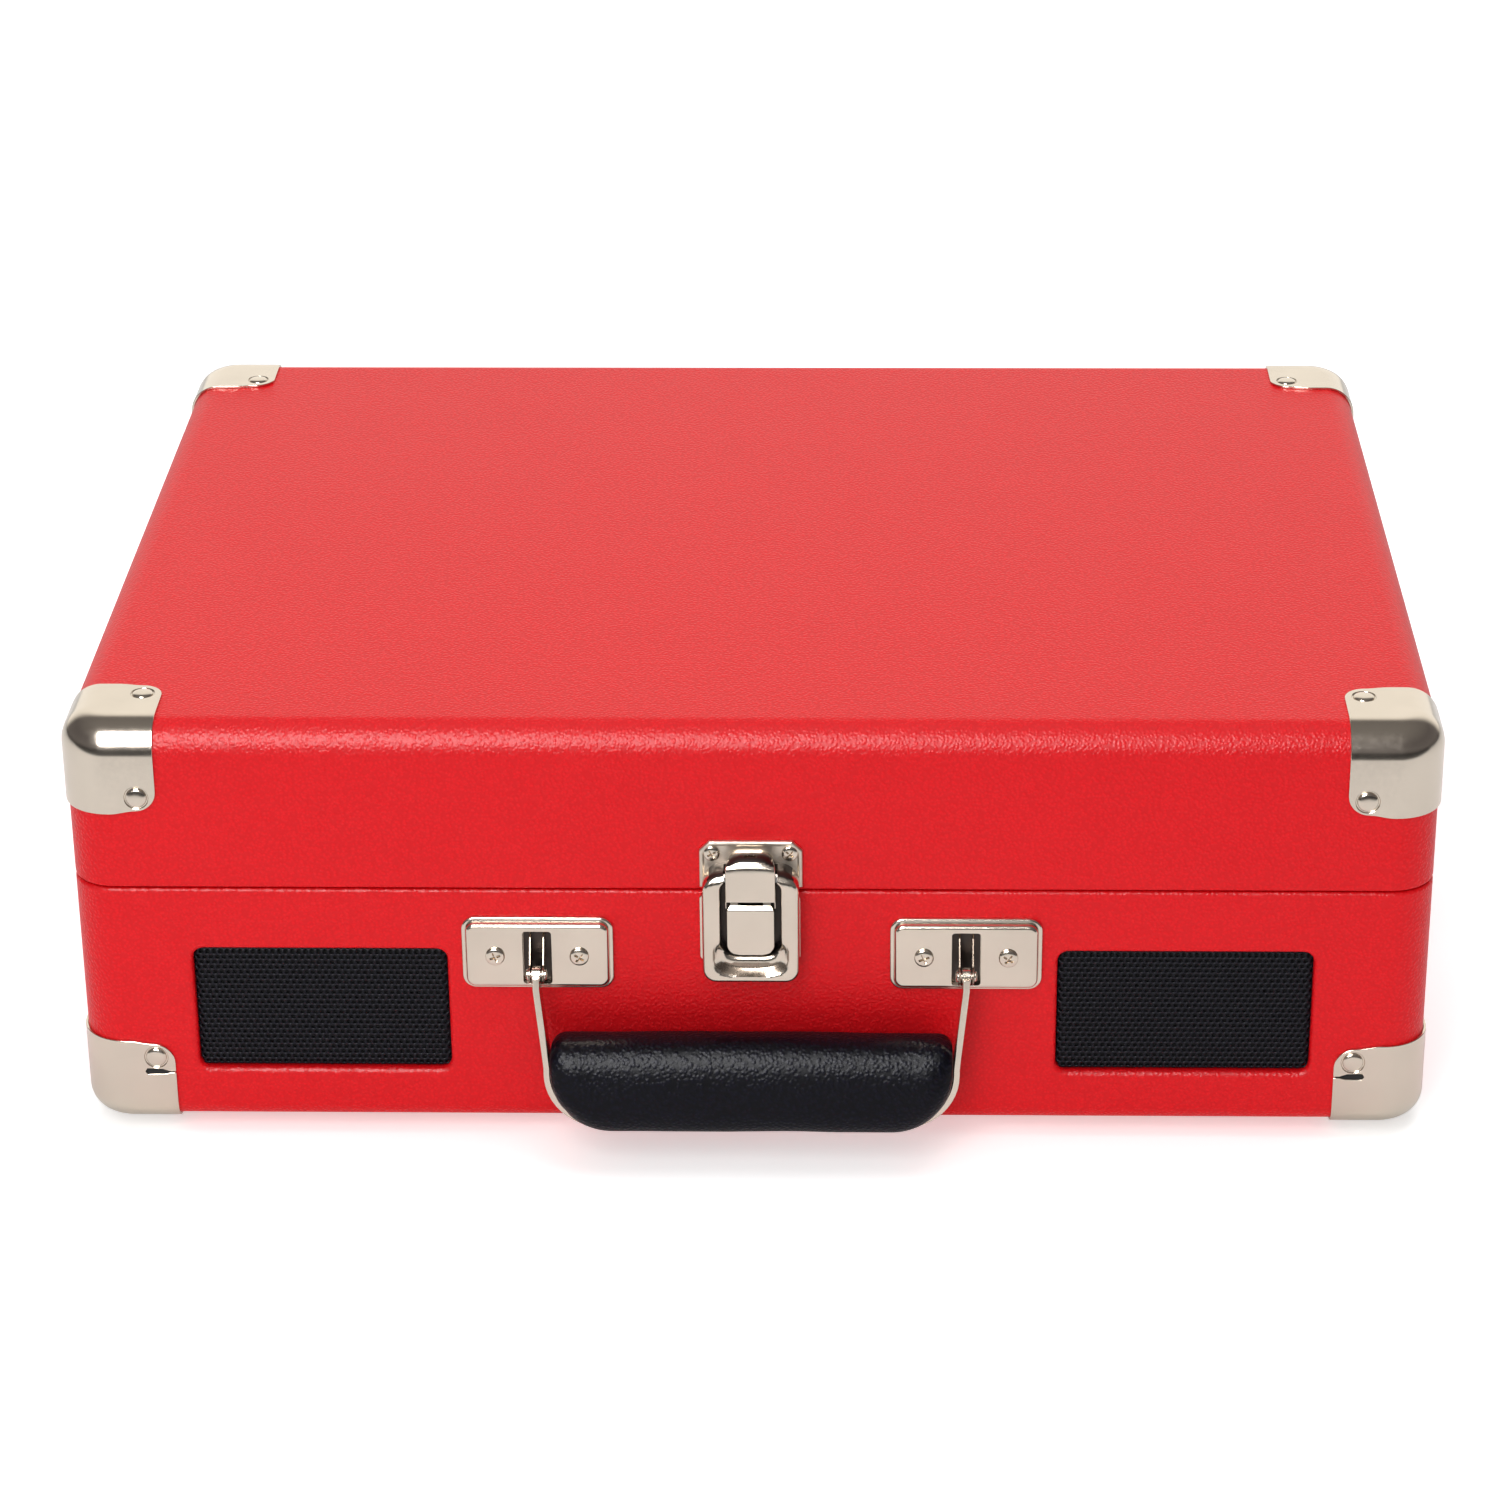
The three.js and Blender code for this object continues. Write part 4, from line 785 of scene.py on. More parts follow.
def nail_dome(radius, rise, place):
    profile = [(radius * math.cos(a) ** 0.75, rise * math.sin(a) ** 0.75) for a in quarter_turn(8)[:-1]]
    return lathe([(radius, -0.2)] + profile + [(radius * 0.03, rise)], 0, 0, 28, place)


def guard_parts(edge, flat, up, slit):
    """A guard and its nails for the corner at the front right."""
    sheet = GUARD["sheet"]
    far = flat - up * 45
    piece = mesh_object("guard", case_form(sheet, edge, flat, far, up))
    front = [(HALF_X - a, flat - up * b) for a, b in lobe(GUARD["reach_x"], GUARD["reach_z"])]
    side = [(FRONT + a, flat - up * b) for a, b in lobe(GUARD["reach_y"], GUARD["reach_z"])]
    level = [(HALF_X - a, FRONT + b) for a, b in lobe(GUARD["reach_x"], GUARD["reach_y"])]
    for points, low, high, place in (
        (front, FRONT - 9, FRONT + 60, at_depth),
        (side, HALF_X - 60, HALF_X + 9, from_side),
        (level, flat - 60, flat + 60, upright),
    ):
        carve(piece, stack(polygon(points), [(0, low), (0, high)], place), "INTERSECT")
    carve(piece, case_form(0.06, edge, flat, far - up * 5, up))
    inset = NAIL["inset"]
    proud = sheet - NAIL["pit"]
    spots = (
        lambda u, v, h: Vector((HALF_X - inset + u, FRONT - proud - h, flat - up * inset + v)),
        lambda u, v, h: Vector((HALF_X + proud + h, FRONT + inset + u, flat - up * inset + v)),
        lambda u, v, h: Vector((HALF_X - inset + u, FRONT + inset + v, flat + up * (proud + h))),
    )
    for spot in spots:
        carve(piece, stack(circle(0, 0, NAIL["radius"] + 0.4, 28), [(0, 0), (0, 3)], spot))
    if slit:
        cut_front = [(HALF_X - a, flat - up * b) for a, b in SLIT]
        cut_side = [(FRONT + a, flat - up * b) for a, b in SLIT]
        carve(piece, stack(polygon(cut_front), [(0, FRONT - 4), (0, FRONT + 3)], at_depth))
        carve(piece, stack(polygon(cut_side), [(0, HALF_X - 3), (0, HALF_X + 4)], from_side))
    nails = merged(*[nail_dome(NAIL["radius"], NAIL["rise"], spot) for spot in spots])
    return piece, nails


def slit_shadows():
    """Painted shadow: dark strips under the slits of the guard for the front right corner of the base,
    where the slits lie in shade.
    """
    strips = []
    for across in (
        lambda a, b, h: Vector((HALF_X - a, FRONT - h, CASE_BOTTOM + b)),
        lambda a, b, h: Vector((HALF_X + h, FRONT + a, CASE_BOTTOM + b)),
    ):
        strips.append(stack(rounded(16.0, 24.0, 14.2, 16.4, 0.5, 3), [(0, 0.02), (0, 0.12)], across))
    return merged(*strips)


def mirrored_copy(piece, name, side_x, side_y):
    """A copy of a mesh, mirrored across the middle of the case."""
    mesh = piece.data.copy()
    centre_y = (FRONT + BACK) / 2 * MM
    for vertex in mesh.vertices:
        vertex.co.x *= side_x
        vertex.co.y = centre_y + (vertex.co.y - centre_y) * side_y
    if side_x * side_y < 0:
        mesh.flip_normals()
    made = bpy.data.objects.new(name, mesh)
    bpy.context.scene.collection.objects.link(made)
    return made


def add_guards():
    for half, edge, flat, up in (("lid", LID_EDGE, CASE_TOP, 1), ("base", BASE_EDGE, CASE_BOTTOM, -1)):
        model, nails = guard_parts(edge, flat, up, half == "base")
        nail_model = mesh_object("nails", nails)
        shadow_model = mesh_object("shadow_strips", slit_shadows())
        for depth, side_y in (("front", 1), ("back", -1)):
            for hand, side_x in HANDS:
                where = f"{half}_{depth}_{hand}"
                piece = mirrored_copy(model, f"guard_{where}", side_x, side_y)
                node = f"{half}_guard_{depth}_{hand}"
                settle(piece, NICKEL, half, "nickel", replaces=[node], angle=30, bevel=0.12)
                heads = mirrored_copy(nail_model, f"nails_{where}", side_x, side_y)
                settle(heads, NICKEL, half, "nickel", angle=50)
                if half == "base":
                    # Painted shadow: dark strips under the slits, for the shade in them.
                    shadow_strips = mirrored_copy(shadow_model, f"slit_backs_{where}", side_x, side_y)
                    settle(shadow_strips, DUST_CLOTH, half, "black_sheet")
        for spare in (model, nail_model, shadow_model):
            bpy.data.objects.remove(spare)


# ---- screws --------------------------------------------------------------------------------

SCREW_SIDE = 0.15  # height of a screw head's upright side


def screw_head(radius, rise):
    """A cross-recessed oval head about the origin, looking along +z: an object to be copied."""
    profile = [(radius, -0.3), (radius, SCREW_SIDE)]
    for a in quarter_turn(7)[1:-1]:
        crown = (rise - SCREW_SIDE) * math.sin(a) ** 0.6
        profile.append((radius * math.cos(a) ** 0.6, SCREW_SIDE + crown))
    profile.append((radius * 0.04, rise))
    piece = mesh_object("screw", lathe(profile, 0, 0, 32))
    arm = radius * 0.62
    wide = radius * 0.17
    plan = rounded(-arm, arm, -wide, wide, wide * 0.5, 3)
    cross = stack(plan, [(wide * 0.6, rise - 0.75), (0, rise + 0.4)])
    for turn in (0, QUARTER):
        carve(piece, moved(cross, Matrix.Rotation(turn, 4, "Z")))
    return piece


def add_screws(name, body, radius, rise, spots):
    """Screw heads: each spot is a place, the way the head looks, and how far it is turned."""
    head = screw_head(radius, rise)
    work = bmesh.new()
    for spot, way, turn in spots:
        face = way.to_track_quat("Z", "Y").to_matrix().to_4x4()
        copy = head.data.copy()
        copy.transform(Matrix.Translation(spot * MM) @ face @ Matrix.Rotation(turn, 4, "Z"))
        work.from_mesh(copy)
        bpy.data.meshes.remove(copy)
    bpy.data.objects.remove(head)
    mesh = bpy.data.meshes.new(name)
    work.to_mesh(mesh)
    work.free()
    piece = bpy.data.objects.new(name, mesh)
    bpy.context.scene.collection.objects.link(piece)
    settle(piece, NICKEL, body, "nickel", angle=30)


# ---- the carrying handle -------------------------------------------------------------------

HANDLE_TILT = math.radians(8)
HANDLE_PIN_Y = FRONT - 7
HANDLE_PIN_Z = middle("handle_pin_right").z
BRACKET_X = 56
BRACKET_SCREW_X = 11  # from the bracket's middle
BRACKET = {"width": 39.8, "height": 20.8, "face": 3.0, "channel": 3.8}


def add_brackets():
    top = corners("handle_bracket_right")[1].z
    for hand, side in HANDS:
        centre = side * BRACKET_X
        x0, x1 = centre - BRACKET["width"] / 2, centre + BRACKET["width"] / 2
        outline = rounded(x0, x1, top - BRACKET["height"], top, 3.6, 7)
        levels = [(0.1, 0.05)] + roll(0.5, 1.25, steps=4) + [(0.85, 1.27), (1.0, 1.32)]
        levels += roll(1.1, BRACKET["face"], 1.15, 6)
        piece = mesh_object(f"bracket_{hand}", stack(outline, levels, on_front))
        half = BRACKET["channel"]
        channel = rounded(centre - half, centre + half, HANDLE_PIN_Z - 5.0, top - 3.2, 0.9, 4)
        carve(piece, stack(channel, [(0, 0.7), (0, 5)], on_front))
        node = f"handle_bracket_{hand}"
        settle(piece, NICKEL, "base", "nickel", replaces=[node], angle=30, bevel=0.12)
        # Painted shade: a near-black plate at the floor of each bracket's channel, where the channel lies
        # in shade.
        well = rounded(centre - half + 0.1, centre + half - 0.1, HANDLE_PIN_Z - 4.9, top - 3.3, 0.8, 4)
        part = stack(well, plate(0.5, 0.9, 0.1), on_front)
        make(f"bracket_shade_well_{hand}", part, SHADE_STEEL, "base", "steel")
        add_bracket_ears(hand, centre, top - 3.6)
        add_handle_pin(hand, side, centre)


def add_bracket_screws():
    z = middle("handle_bracket_right").z
    spots = []
    for centre in (-BRACKET_X, BRACKET_X):
        for offset, turn in ((-BRACKET_SCREW_X, 0.6), (BRACKET_SCREW_X, 0.75)):
            spot = on_front(centre + offset, z, BRACKET["face"])
            spots.append((spot, FORWARDS, turn + offset * 0.02))
    add_screws("bracket_screws", "base", 2.55, 0.95, spots)


EAR_ROUND = 2.3  # radius of a bracket ear's end


def ear_outline(top):
    """An ear seen from the side, as (proud, height) points: wide at the plate and round at the pin."""
    pin = FRONT - HANDLE_PIN_Y
    z = HANDLE_PIN_Z
    points = [(0.8, top), (0.8, z - 4.2), (2.4, z - 4.0), (pin - 1, z - 2.6)]
    for i in range(11):
        a = math.pi * (i / 10 - 0.42)
        points.append((pin + EAR_ROUND * math.cos(a), z + EAR_ROUND * math.sin(a)))
    points.append((3.0, top - 1.2))
    return points


def add_bracket_ears(hand, centre, top):
    ears = []
    for inner, outer in ((-2.0, -1.5), (1.5, 2.0)):
        rings = [[Vector((centre + x, FRONT - p, z)) for p, z in ear_outline(top)] for x in (inner, outer)]
        ears.append(skin(rings))
    # Painted shade: the ears are the darker nickel, for the shade between the strap's eye and the pin
    # heads.
    make(f"bracket_ears_{hand}", merged(*ears), SHADED_NICKEL, "base", "nickel", angle=30, bevel=0.12)


def add_handle_pin(hand, side, centre):
    def place(u, v, along):
        return Vector((centre + side * along, HANDLE_PIN_Y + u, HANDLE_PIN_Z + v))

    profile = [(0.6, -2.8), (1.2, -2.7), (1.5, -2.4), (1.5, -2.1), (0.9, -2.05)]
    profile += [(0.9, 2.05), (1.5, 2.1), (1.5, 2.4), (1.2, 2.7), (0.6, 2.8)]
    part = lathe(profile, 0, 0, 28, place)
    make(f"pin_{hand}", part, NICKEL, "base", "nickel", replaces=[f"handle_pin_{hand}"], angle=40)


def on_handle(x, y, z):
    """A point of the hanging handle, from the pins' axis and as if it hung straight."""
    c, s = math.cos(HANDLE_TILT), math.sin(HANDLE_TILT)
    return Vector((x, HANDLE_PIN_Y + y * c + z * s, HANDLE_PIN_Z - y * s + z * c))


STRAP = {
    "half_width": 3.5, "half_thickness": 0.9, "side": 53.6, "bend": 14, "bottom": -40.6,
    "eye": 2.3, "bore": 1.1, "eye_half": 1.1,
}


def strap_path():
    """The strap's middle line in (x, z), from the right pin round under the grip to the left one."""
    side, bend, bottom = STRAP["side"], STRAP["bend"], STRAP["bottom"]
    down = [(BRACKET_X, 0), (BRACKET_X, -3), (BRACKET_X - 0.15, -4.5), (side + 0.3, -22), (side, -25)]
    corner = [
        (side - bend + bend * math.cos(a), bottom + bend - bend * math.sin(a))
        for a in quarter_turn(12)
    ]
    half = down + corner
    return half + [(-x, z) for x, z in reversed(half)]


def add_strap():
    path = strap_path()
    across = on_handle(0, 1, 0) - on_handle(0, 0, 0)
    half_width, half_thickness = STRAP["half_width"], STRAP["half_thickness"]
    stations = []
    for i, (x, z) in enumerate(path):
        xa, za = path[max(i - 1, 0)]
        xb, zb = path[min(i + 1, len(path) - 1)]
        along = (on_handle(xb, 0, zb) - on_handle(xa, 0, za)).normalized()
        stations.append((on_handle(x, 0, z), across, along.cross(across), half_width, half_thickness))
    strip = ribbon(stations, 0.35, 4)
    reach = STRAP["eye_half"]
    eye = [(STRAP["bore"], -reach), (STRAP["eye"], -reach), (STRAP["eye"], reach), (STRAP["bore"], reach)]
    eyes = []
    for side in (-1, 1):
        def place(u, v, along, side=side):
            return on_handle(side * BRACKET_X + along, u, v)

        eyes.append(lathe(eye, 0, 0, 32, place, loop=True))
    part = merged(strip, *eyes)
    make("handle_strap_visual", part, NICKEL, "handle", "nickel",
         replaces=["handle_strap"], angle=40, bevel=0.1)


GRIP = {
    "half_length": 52.6, "top": -16.9, "bottom": -43.0, "half_depth": 9.6,
    "upper": 3.8, "lower": 16.0,
}  # upper and lower are the radii of its corners, seen from the front
GRIP_FOLD = 7  # how far from its ends the grip is drawn in
GRIP_FULLNESS = 0.80  # 1 makes an ellipse of the section, less a squarer one


def grip_section(x):
    """The grip's lower edge, upper edge and half depth at a distance along it."""
    end = GRIP["half_length"]
    from_end = end - abs(x)
    upper, lower = GRIP["upper"], GRIP["lower"]

    def drop(radius):
        over = max(radius - from_end, 0)
        return radius - math.sqrt(max(radius ** 2 - over ** 2, 0))

    soft = max(1 - from_end / GRIP_FOLD, 0)
    half_depth = GRIP["half_depth"] * (0.62 + 0.38 * math.sqrt(1 - soft ** 2))
    crown = 0.35 * math.cos(x / end * QUARTER)
    return GRIP["bottom"] + drop(lower), GRIP["top"] + crown - drop(upper), half_depth


def grip_pucker(spot, x):
    """Small creases that run in from the folded ends."""
    near_end = smooth(abs(x), GRIP["half_length"] - 20, GRIP["half_length"])
    crease = noise_at(Vector((spot.x * 0.07, spot.y * 0.35, spot.z * 0.35)))
    swell = noise_at(Vector((spot.x * 0.05, spot.y * 0.09, spot.z * 0.09)) + Vector((7, 3, 1)))
    return 0.35 * swell + 0.5 * near_end * crease


def bulging(wave):
    return math.copysign(abs(wave) ** GRIP_FULLNESS, wave)


def add_grip():
    """The padded grip: a full, soft section carried along it, with its folded ends drawn in."""
    end = GRIP["half_length"]
    near = [end - GRIP_FOLD * (1 - math.cos(a)) for a in quarter_turn(10)]
    inner = [end - GRIP_FOLD - (end - GRIP_FOLD) * i / 44 for i in range(1, 45)]
    right = near + inner
    stations = right + [-x for x in reversed(right[:-1])]
    rings = []
    count = 56
    for x in stations:
        low, high, half_depth = grip_section(x)
        mid, half_height = (low + high) / 2, (high - low) / 2
        ring = []
        for i in range(count):
            a = 2 * math.pi * i / count
            c, s = math.cos(a), math.sin(a)
            spot = Vector((x, half_depth * bulging(c), mid + half_height * bulging(s)))
            spot -= Vector((0, c, s)) * max(grip_pucker(spot, x), 0)
            ring.append(on_handle(*spot))
        rings.append(ring)
    piece = mesh_object("grip_cover", skin(rings))
    settle(piece, BLACK_HIDE, "handle", "black_leatherette", replaces=["handle_grip"], angle=80)


# ---- the draw latch ------------------------------------------------------------------------

LATCH_Z = corners("latch_body")[0].z
LATCH = {
    "half": 12.6, "low": LATCH_Z + 0.4, "high": LATCH_Z + 31.2, "proud": 8,
    "arch": 1.7,  # rise of the bowed top edge
    "roof": 3.0,  # radius of the roll back from it
    "edge": 2.0,  # width of the rolled outer edge
}
POCKET = {"half": 7.85, "low": LATCH_Z + 7.9, "high": LATCH_Z + 28.8, "floor": 2.4}
FLAP = {"half": 6.1, "corner": 2.9, "low": LATCH_Z + 8.9, "high": LATCH_Z + 23.0, "proud": 7.5}
CLAW = {"half": 6.45, "low": LATCH_Z + 24.4, "bend": LATCH_Z + 33.0, "radius": 2.9, "proud": 7.6}
CLAW_CURL = math.radians(125)
# Painted shade: faces looking further up than this slope are given a near-black material in place of their
# reflections.
ROOF_SLOPE = 0.72  # faces of the body and the claw that look further up than this are dark
KEEPER = {"half": 13.35, "cut": 2.6, "dome": LATCH_Z + 33.3, "screw_x": 10.1, "screw_z": LATCH_Z + 35.05}


def arched(u, v, proud):
    """A place on the latch's front, with the top of the body bowed up in the middle and rolled back."""
    high = smooth(v, POCKET["high"] - 6, LATCH["high"])
    bow = LATCH["arch"] * (1 - (u / LATCH["half"]) ** 2) * high
    t = min(max(1 - (LATCH["high"] - v) / LATCH["roof"], 0), 1)
    back = LATCH["roof"] * (1 - math.sqrt(1 - t * t))
    return on_front(u, v + bow, max(proud - back, min(proud, 0.4)))


def dish(u, v):
    """How deep the finger scoop is under the pocket: a rounded hollow about the pocket's lower end."""
    middle_v = POCKET["low"] + 1.0
    across = abs(u) / 10.9
    down = max(middle_v - v, 0) / (middle_v - LATCH["low"] - 1.5)
    far = (across ** 3 + down ** 3) ** (1 / 3)
    return 1.9 * (1 - smooth(far, 0.66, 1.0)) * (1 - smooth(v, POCKET["low"] + 1.5, POCKET["low"] + 4.5))


def latch_shell():
    """The pressed body: rings from its outer edge over the front and down the pocket's walls."""
    half, low, high, proud = LATCH["half"], LATCH["low"], LATCH["high"], LATCH["proud"]
    body = rounded(-half, half, low, high, (4.4, 4.4, 3.6, 3.6), 10, 14)
    half, low, high = POCKET["half"], POCKET["low"], POCKET["high"]
    pocket = rounded(-half, half, low, high, (2.0, 2.0, 4.4, 4.4), 10, 14)
    rings = []
    for inset, height in [(0, 0.4)] + roll(1.3, proud, steps=6) + [(LATCH["edge"], proud)]:
        rings.append([arched(u, v, height) for u, v in body(inset)])
    wall = pocket(0)
    outward = [(u1 - u0, v1 - v0) for (u0, v0), (u1, v1) in zip(wall, pocket(-1))]
    lip = [0.7 + 1.5 * (1 - smooth(v, low + 0.5, low + 4.5)) for u, v in wall]
    brow = [(u + nu * r, v + nv * r) for (u, v), (nu, nv), r in zip(wall, outward, lip)]
    for step in range(1, 10):
        t = step / 9
        ring = []
        for (ua, va), (ub, vb) in zip(body(LATCH["edge"]), brow):
            u, v = ua + (ub - ua) * t, va + (vb - va) * t
            ring.append(arched(u, v, proud - dish(u, v)))
        rings.append(ring)
    for a in quarter_turn(6)[1:]:
        ring = []
        for (u, v), (nu, nv), r, (ub, vb) in zip(wall, outward, lip, brow):
            away = r * (1 - math.sin(a))
            height = proud - dish(ub, vb) - r * (1 - math.cos(a))
            ring.append(arched(u + nu * away, v + nv * away, height))
        rings.append(ring)
    rings.append([arched(u, v, POCKET["floor"]) for u, v in wall])
    return skin(rings)


def latch_look(face):
    """The number of a face's material: 0 for plating, 1 for painted shade deep in the pocket and on the
    upward faces of the roof, 2 for the darker nickel of painted shade in the scoop.
    """
    x, y, z = face.center / MM
    inside = abs(x) < POCKET["half"] + 0.1 and z > POCKET["low"] - 0.1
    on_roof = face.normal.z > ROOF_SLOPE and z > POCKET["high"] + 1
    below_pocket = z < POCKET["low"] - 2.2 or abs(x) > POCKET["half"] + 1.5
    if on_roof or (inside and FRONT - y < LATCH["proud"] - 2.2):
        return 1
    if dish(x, z) > 0.3 and below_pocket:
        return 2
    return 0


def add_latch_body():
    piece = mesh_object("latch_cover", latch_shell())
    notch = rounded(-7.0, 7.0, POCKET["high"] - 3, LATCH["high"] + 6, 0.3, 2)
    carve(piece, stack(notch, [(0, 2.0), (0, 10)], on_front))
    # Painted shade: the pocket's deep faces and the roof's upward faces get near-black steel, and the
    # scoop a darker nickel.
    painted = [latch_look(face) for face in piece.data.polygons]
    looks = [NICKEL, SHADE_STEEL, SHADED_NICKEL]
    settle(piece, looks, "base", "nickel", replaces=["latch_body"], painted=painted, angle=38)
    half = LATCH["half"] + 0.9
    flange = rounded(-half, half - 0.7, LATCH["low"] + 3.2, BASE_HIGH.z - 0.5, 1.2, 4)
    part = stack(flange, [(0.1, 0.05)] + roll(0.3, 1.1, steps=3), on_front)
    make("latch_flange", part, NICKEL, "base", "nickel")


def side_cheeks(outline, inner, outer):
    """A pair of upright cheeks, left and right, from an outline in (proud, height)."""
    cheeks = []
    for side in (-1, 1):
        xs = sorted((side * inner, side * outer))
        cheeks.append(skin([[Vector((x, FRONT - p, z)) for p, z in outline] for x in xs]))
    return cheeks


def add_latch_lever():
    """The flap, with a sloped top edge, and the arms behind it."""
    half, corner, proud, top = FLAP["half"], FLAP["corner"], FLAP["proud"], FLAP["high"]
    stations = []
    for i in range(9):
        rise = corner * i / 8
        narrow = corner - math.sqrt(max(corner ** 2 - (corner - rise) ** 2, 0))
        centre = on_front(0, FLAP["low"] + rise, proud)
        stations.append((centre, RIGHTWARDS, FORWARDS, half - narrow + 0.02, 0.5))
    for below, back, narrow, thick in ((1.35, 0, 0, 0.5), (0.9, 0.2, 0.15, 0.48), (0.1, 0.75, 0.7, 0.42)):
        centre = on_front(0, top - below, proud - back)
        stations.append((centre, RIGHTWARDS, FORWARDS, half - narrow, thick))
    pin_z = corners("latch_lever")[1].z - 1.9
    outline = [
        (7.0, top - 3), (4.0, top - 3.4), (2.4, pin_z), (3.2, pin_z + 1.7), (4.9, pin_z + 1.7),
        (6.0, pin_z - 1), (7.0, top - 0.5),
    ]
    part = merged(ribbon(stations, 0.22), *side_cheeks(outline, 3.3, 5.2))
    make("lever_flap", part, NICKEL, "lever", "nickel", replaces=["latch_lever"], angle=30, bevel=0.1)


def add_latch_claw():
    """A strip that runs up over the lever's pin and curls back over the keeper, with its ears."""
    proud, low, bend, radius = CLAW["proud"], CLAW["low"], CLAW["bend"], CLAW["radius"]
    path = [(proud, low, 0.0), (proud, low + 3, 0.0), (proud, bend - 0.6, 0.0)]
    for i in range(1, 15):
        a = CLAW_CURL * i / 14
        path.append((proud - radius + radius * math.cos(a), bend + radius * math.sin(a), a))
    section = rounded(-CLAW["half"], CLAW["half"], -0.6, 0.6, 0.4, 4, 12)()
    rings = []
    for out_by, z, a in path:
        out = Vector((0, -math.cos(a), math.sin(a)))
        centre = on_front(0, z, out_by)
        narrow = 1 - 0.07 * smooth(a, 0.2, 1.4)
        fall = 1.7 * smooth(a, 0.1, 1.2)
        rings.append([
            centre + RIGHTWARDS * u * narrow + out * (v - fall * (abs(u) / CLAW["half"]) ** 4)
            for u, v in section
        ])
    strip = mesh_object("claw_strip", skin(rings))
    slot = rounded(-1.7, 1.7, FRONT - 5.8, FRONT - 4.9, 0.35, 3)
    carve(strip, stack(slot, [(0, bend + 1), (0, bend + 5)]))
    # Painted shade: the claw's upward faces get near-black steel in place of their reflections.
    painted = [int(face.normal.z > ROOF_SLOPE) for face in strip.data.polygons]
    settle(strip, [NICKEL, SHADE_STEEL], "claw", "nickel",
           replaces=["latch_claw"], painted=painted, bevel=0.08)
    outline = [
        (7.4, low + 3.6), (7.4, low + 0.4), (6.6, low - 2.6), (4.9, low - 3.2), (4.2, low - 1.6),
        (5.2, low + 3.6),
    ]
    make("claw_ears", merged(*side_cheeks(outline, 6.2, 6.5)), NICKEL, "claw", "nickel", bevel=0.05)


def add_keeper():
    """The plate with its two upper corners cut off, and the dome that the claw hooks over."""
    low, high = corners("latch_keeper")
    half, cut = KEEPER["half"], KEEPER["cut"]
    half_height = (high.z - low.z) / 2
    mid = (low.z + high.z) / 2
    plan = [
        (half, low.z), (half, high.z - cut), (half - cut, high.z), (cut - half, high.z),
        (-half, high.z - cut), (-half, low.z),
    ]

    def outline(inset=0):
        scale_u = (half - inset) / half
        scale_v = (half_height - inset) / half_height
        return [(u * scale_u, mid + (v - mid) * scale_v) for u, v in plan]

    raised = [(0, 0.1), (0, 1.1), (0.25, 1.35), (0.9, 1.35), (1.2, 1.05), (1.5, 1.0)]
    make("keeper_plate", stack(outline, raised, on_front), SATIN_NICKEL, "lid", "nickel",
         replaces=["latch_keeper"], angle=25, bevel=0.08)
    dome = rounded(-5.9, 5.9, -3.4, 2.5, (3.2, 3.2, 1.0, 1.0), 8)()
    rings = []
    for a in quarter_turn(8):
        c, proud = math.cos(a), 0.9 + 2.5 * math.sin(a) ** 0.8
        rings.append([on_front(u * c, KEEPER["dome"] + v * c, proud) for u, v in dome])
    make("keeper_dome", skin(rings), NICKEL, "lid", "nickel", angle=50)


def add_latch():
    add_latch_body()
    add_latch_lever()
    add_latch_claw()
    add_keeper()
    x, z = KEEPER["screw_x"], KEEPER["screw_z"]
    spots = [(on_front(-x, z, 1.0), FORWARDS, 0.5), (on_front(x, z, 1.0), FORWARDS, 0.9)]
    add_screws("keeper_screws", "lid", 2.15, 0.8, spots)


# ---- what the open case shows --------------------------------------------------------------

ON_DECK = DECK_TOP + 0.3
PLATTER_AXIS = middle("spindle")
PLATTER_LOW, PLATTER_HIGH = corners("platter")
MAT_LOW, MAT_HIGH = corners("slip_mat")
PLATTER_BORE = 3.9
BELT_TRACK = 50  # radius of the ring under the platter that the belt runs on
LABEL = 50  # radius of the mat's sunk middle
MAT_RIB = {"pitch": 4.2, "depth": 0.45}


def turned_piece(name, profile, node, look, slot, steps, loop=False, **how):
    """A turned piece on the base in the place of a CAD node, about the node's upright axis."""
    axis = middle(node)
    part = lathe(profile, axis.x, axis.y, steps, loop=loop)
    make(name, part, look, "base", slot, replaces=[node], **how)


def ring_of(bore, radius, low, high, edge):
    """The profile of a flat ring with its outer edges rounded."""
    arc = [(edge * math.sin(a), edge * (1 - math.cos(a))) for a in quarter_turn(4)]
    under = [(radius - edge + out, low + up) for out, up in arc]
    over = [(radius - edge + out, high - up) for out, up in reversed(arc)]
    return [(bore, low)] + under + over + [(bore, high)]


def mat_profile():
    """The slip mat's section: concentric ribs round a sunk middle for the record's label."""
    low, high = MAT_LOW.z, MAT_HIGH.z
    outer = (MAT_HIGH.x - MAT_LOW.x) / 2
    profile = [(PLATTER_BORE, low), (outer - 0.4, low), (outer, low + 0.4)]
    profile += [(outer, high - 0.4), (outer - 0.5, high)]
    sunk = high - MAT_RIB["depth"]
    rib = outer - 3
    while rib > LABEL + 4:
        profile += [(rib, high), (rib - 0.5, sunk), (rib - 1.3, sunk), (rib - 1.8, high)]
        rib -= MAT_RIB["pitch"]
    return profile + [(LABEL, high), (LABEL - 0.8, high - 0.7), (PLATTER_BORE, high - 0.7)]


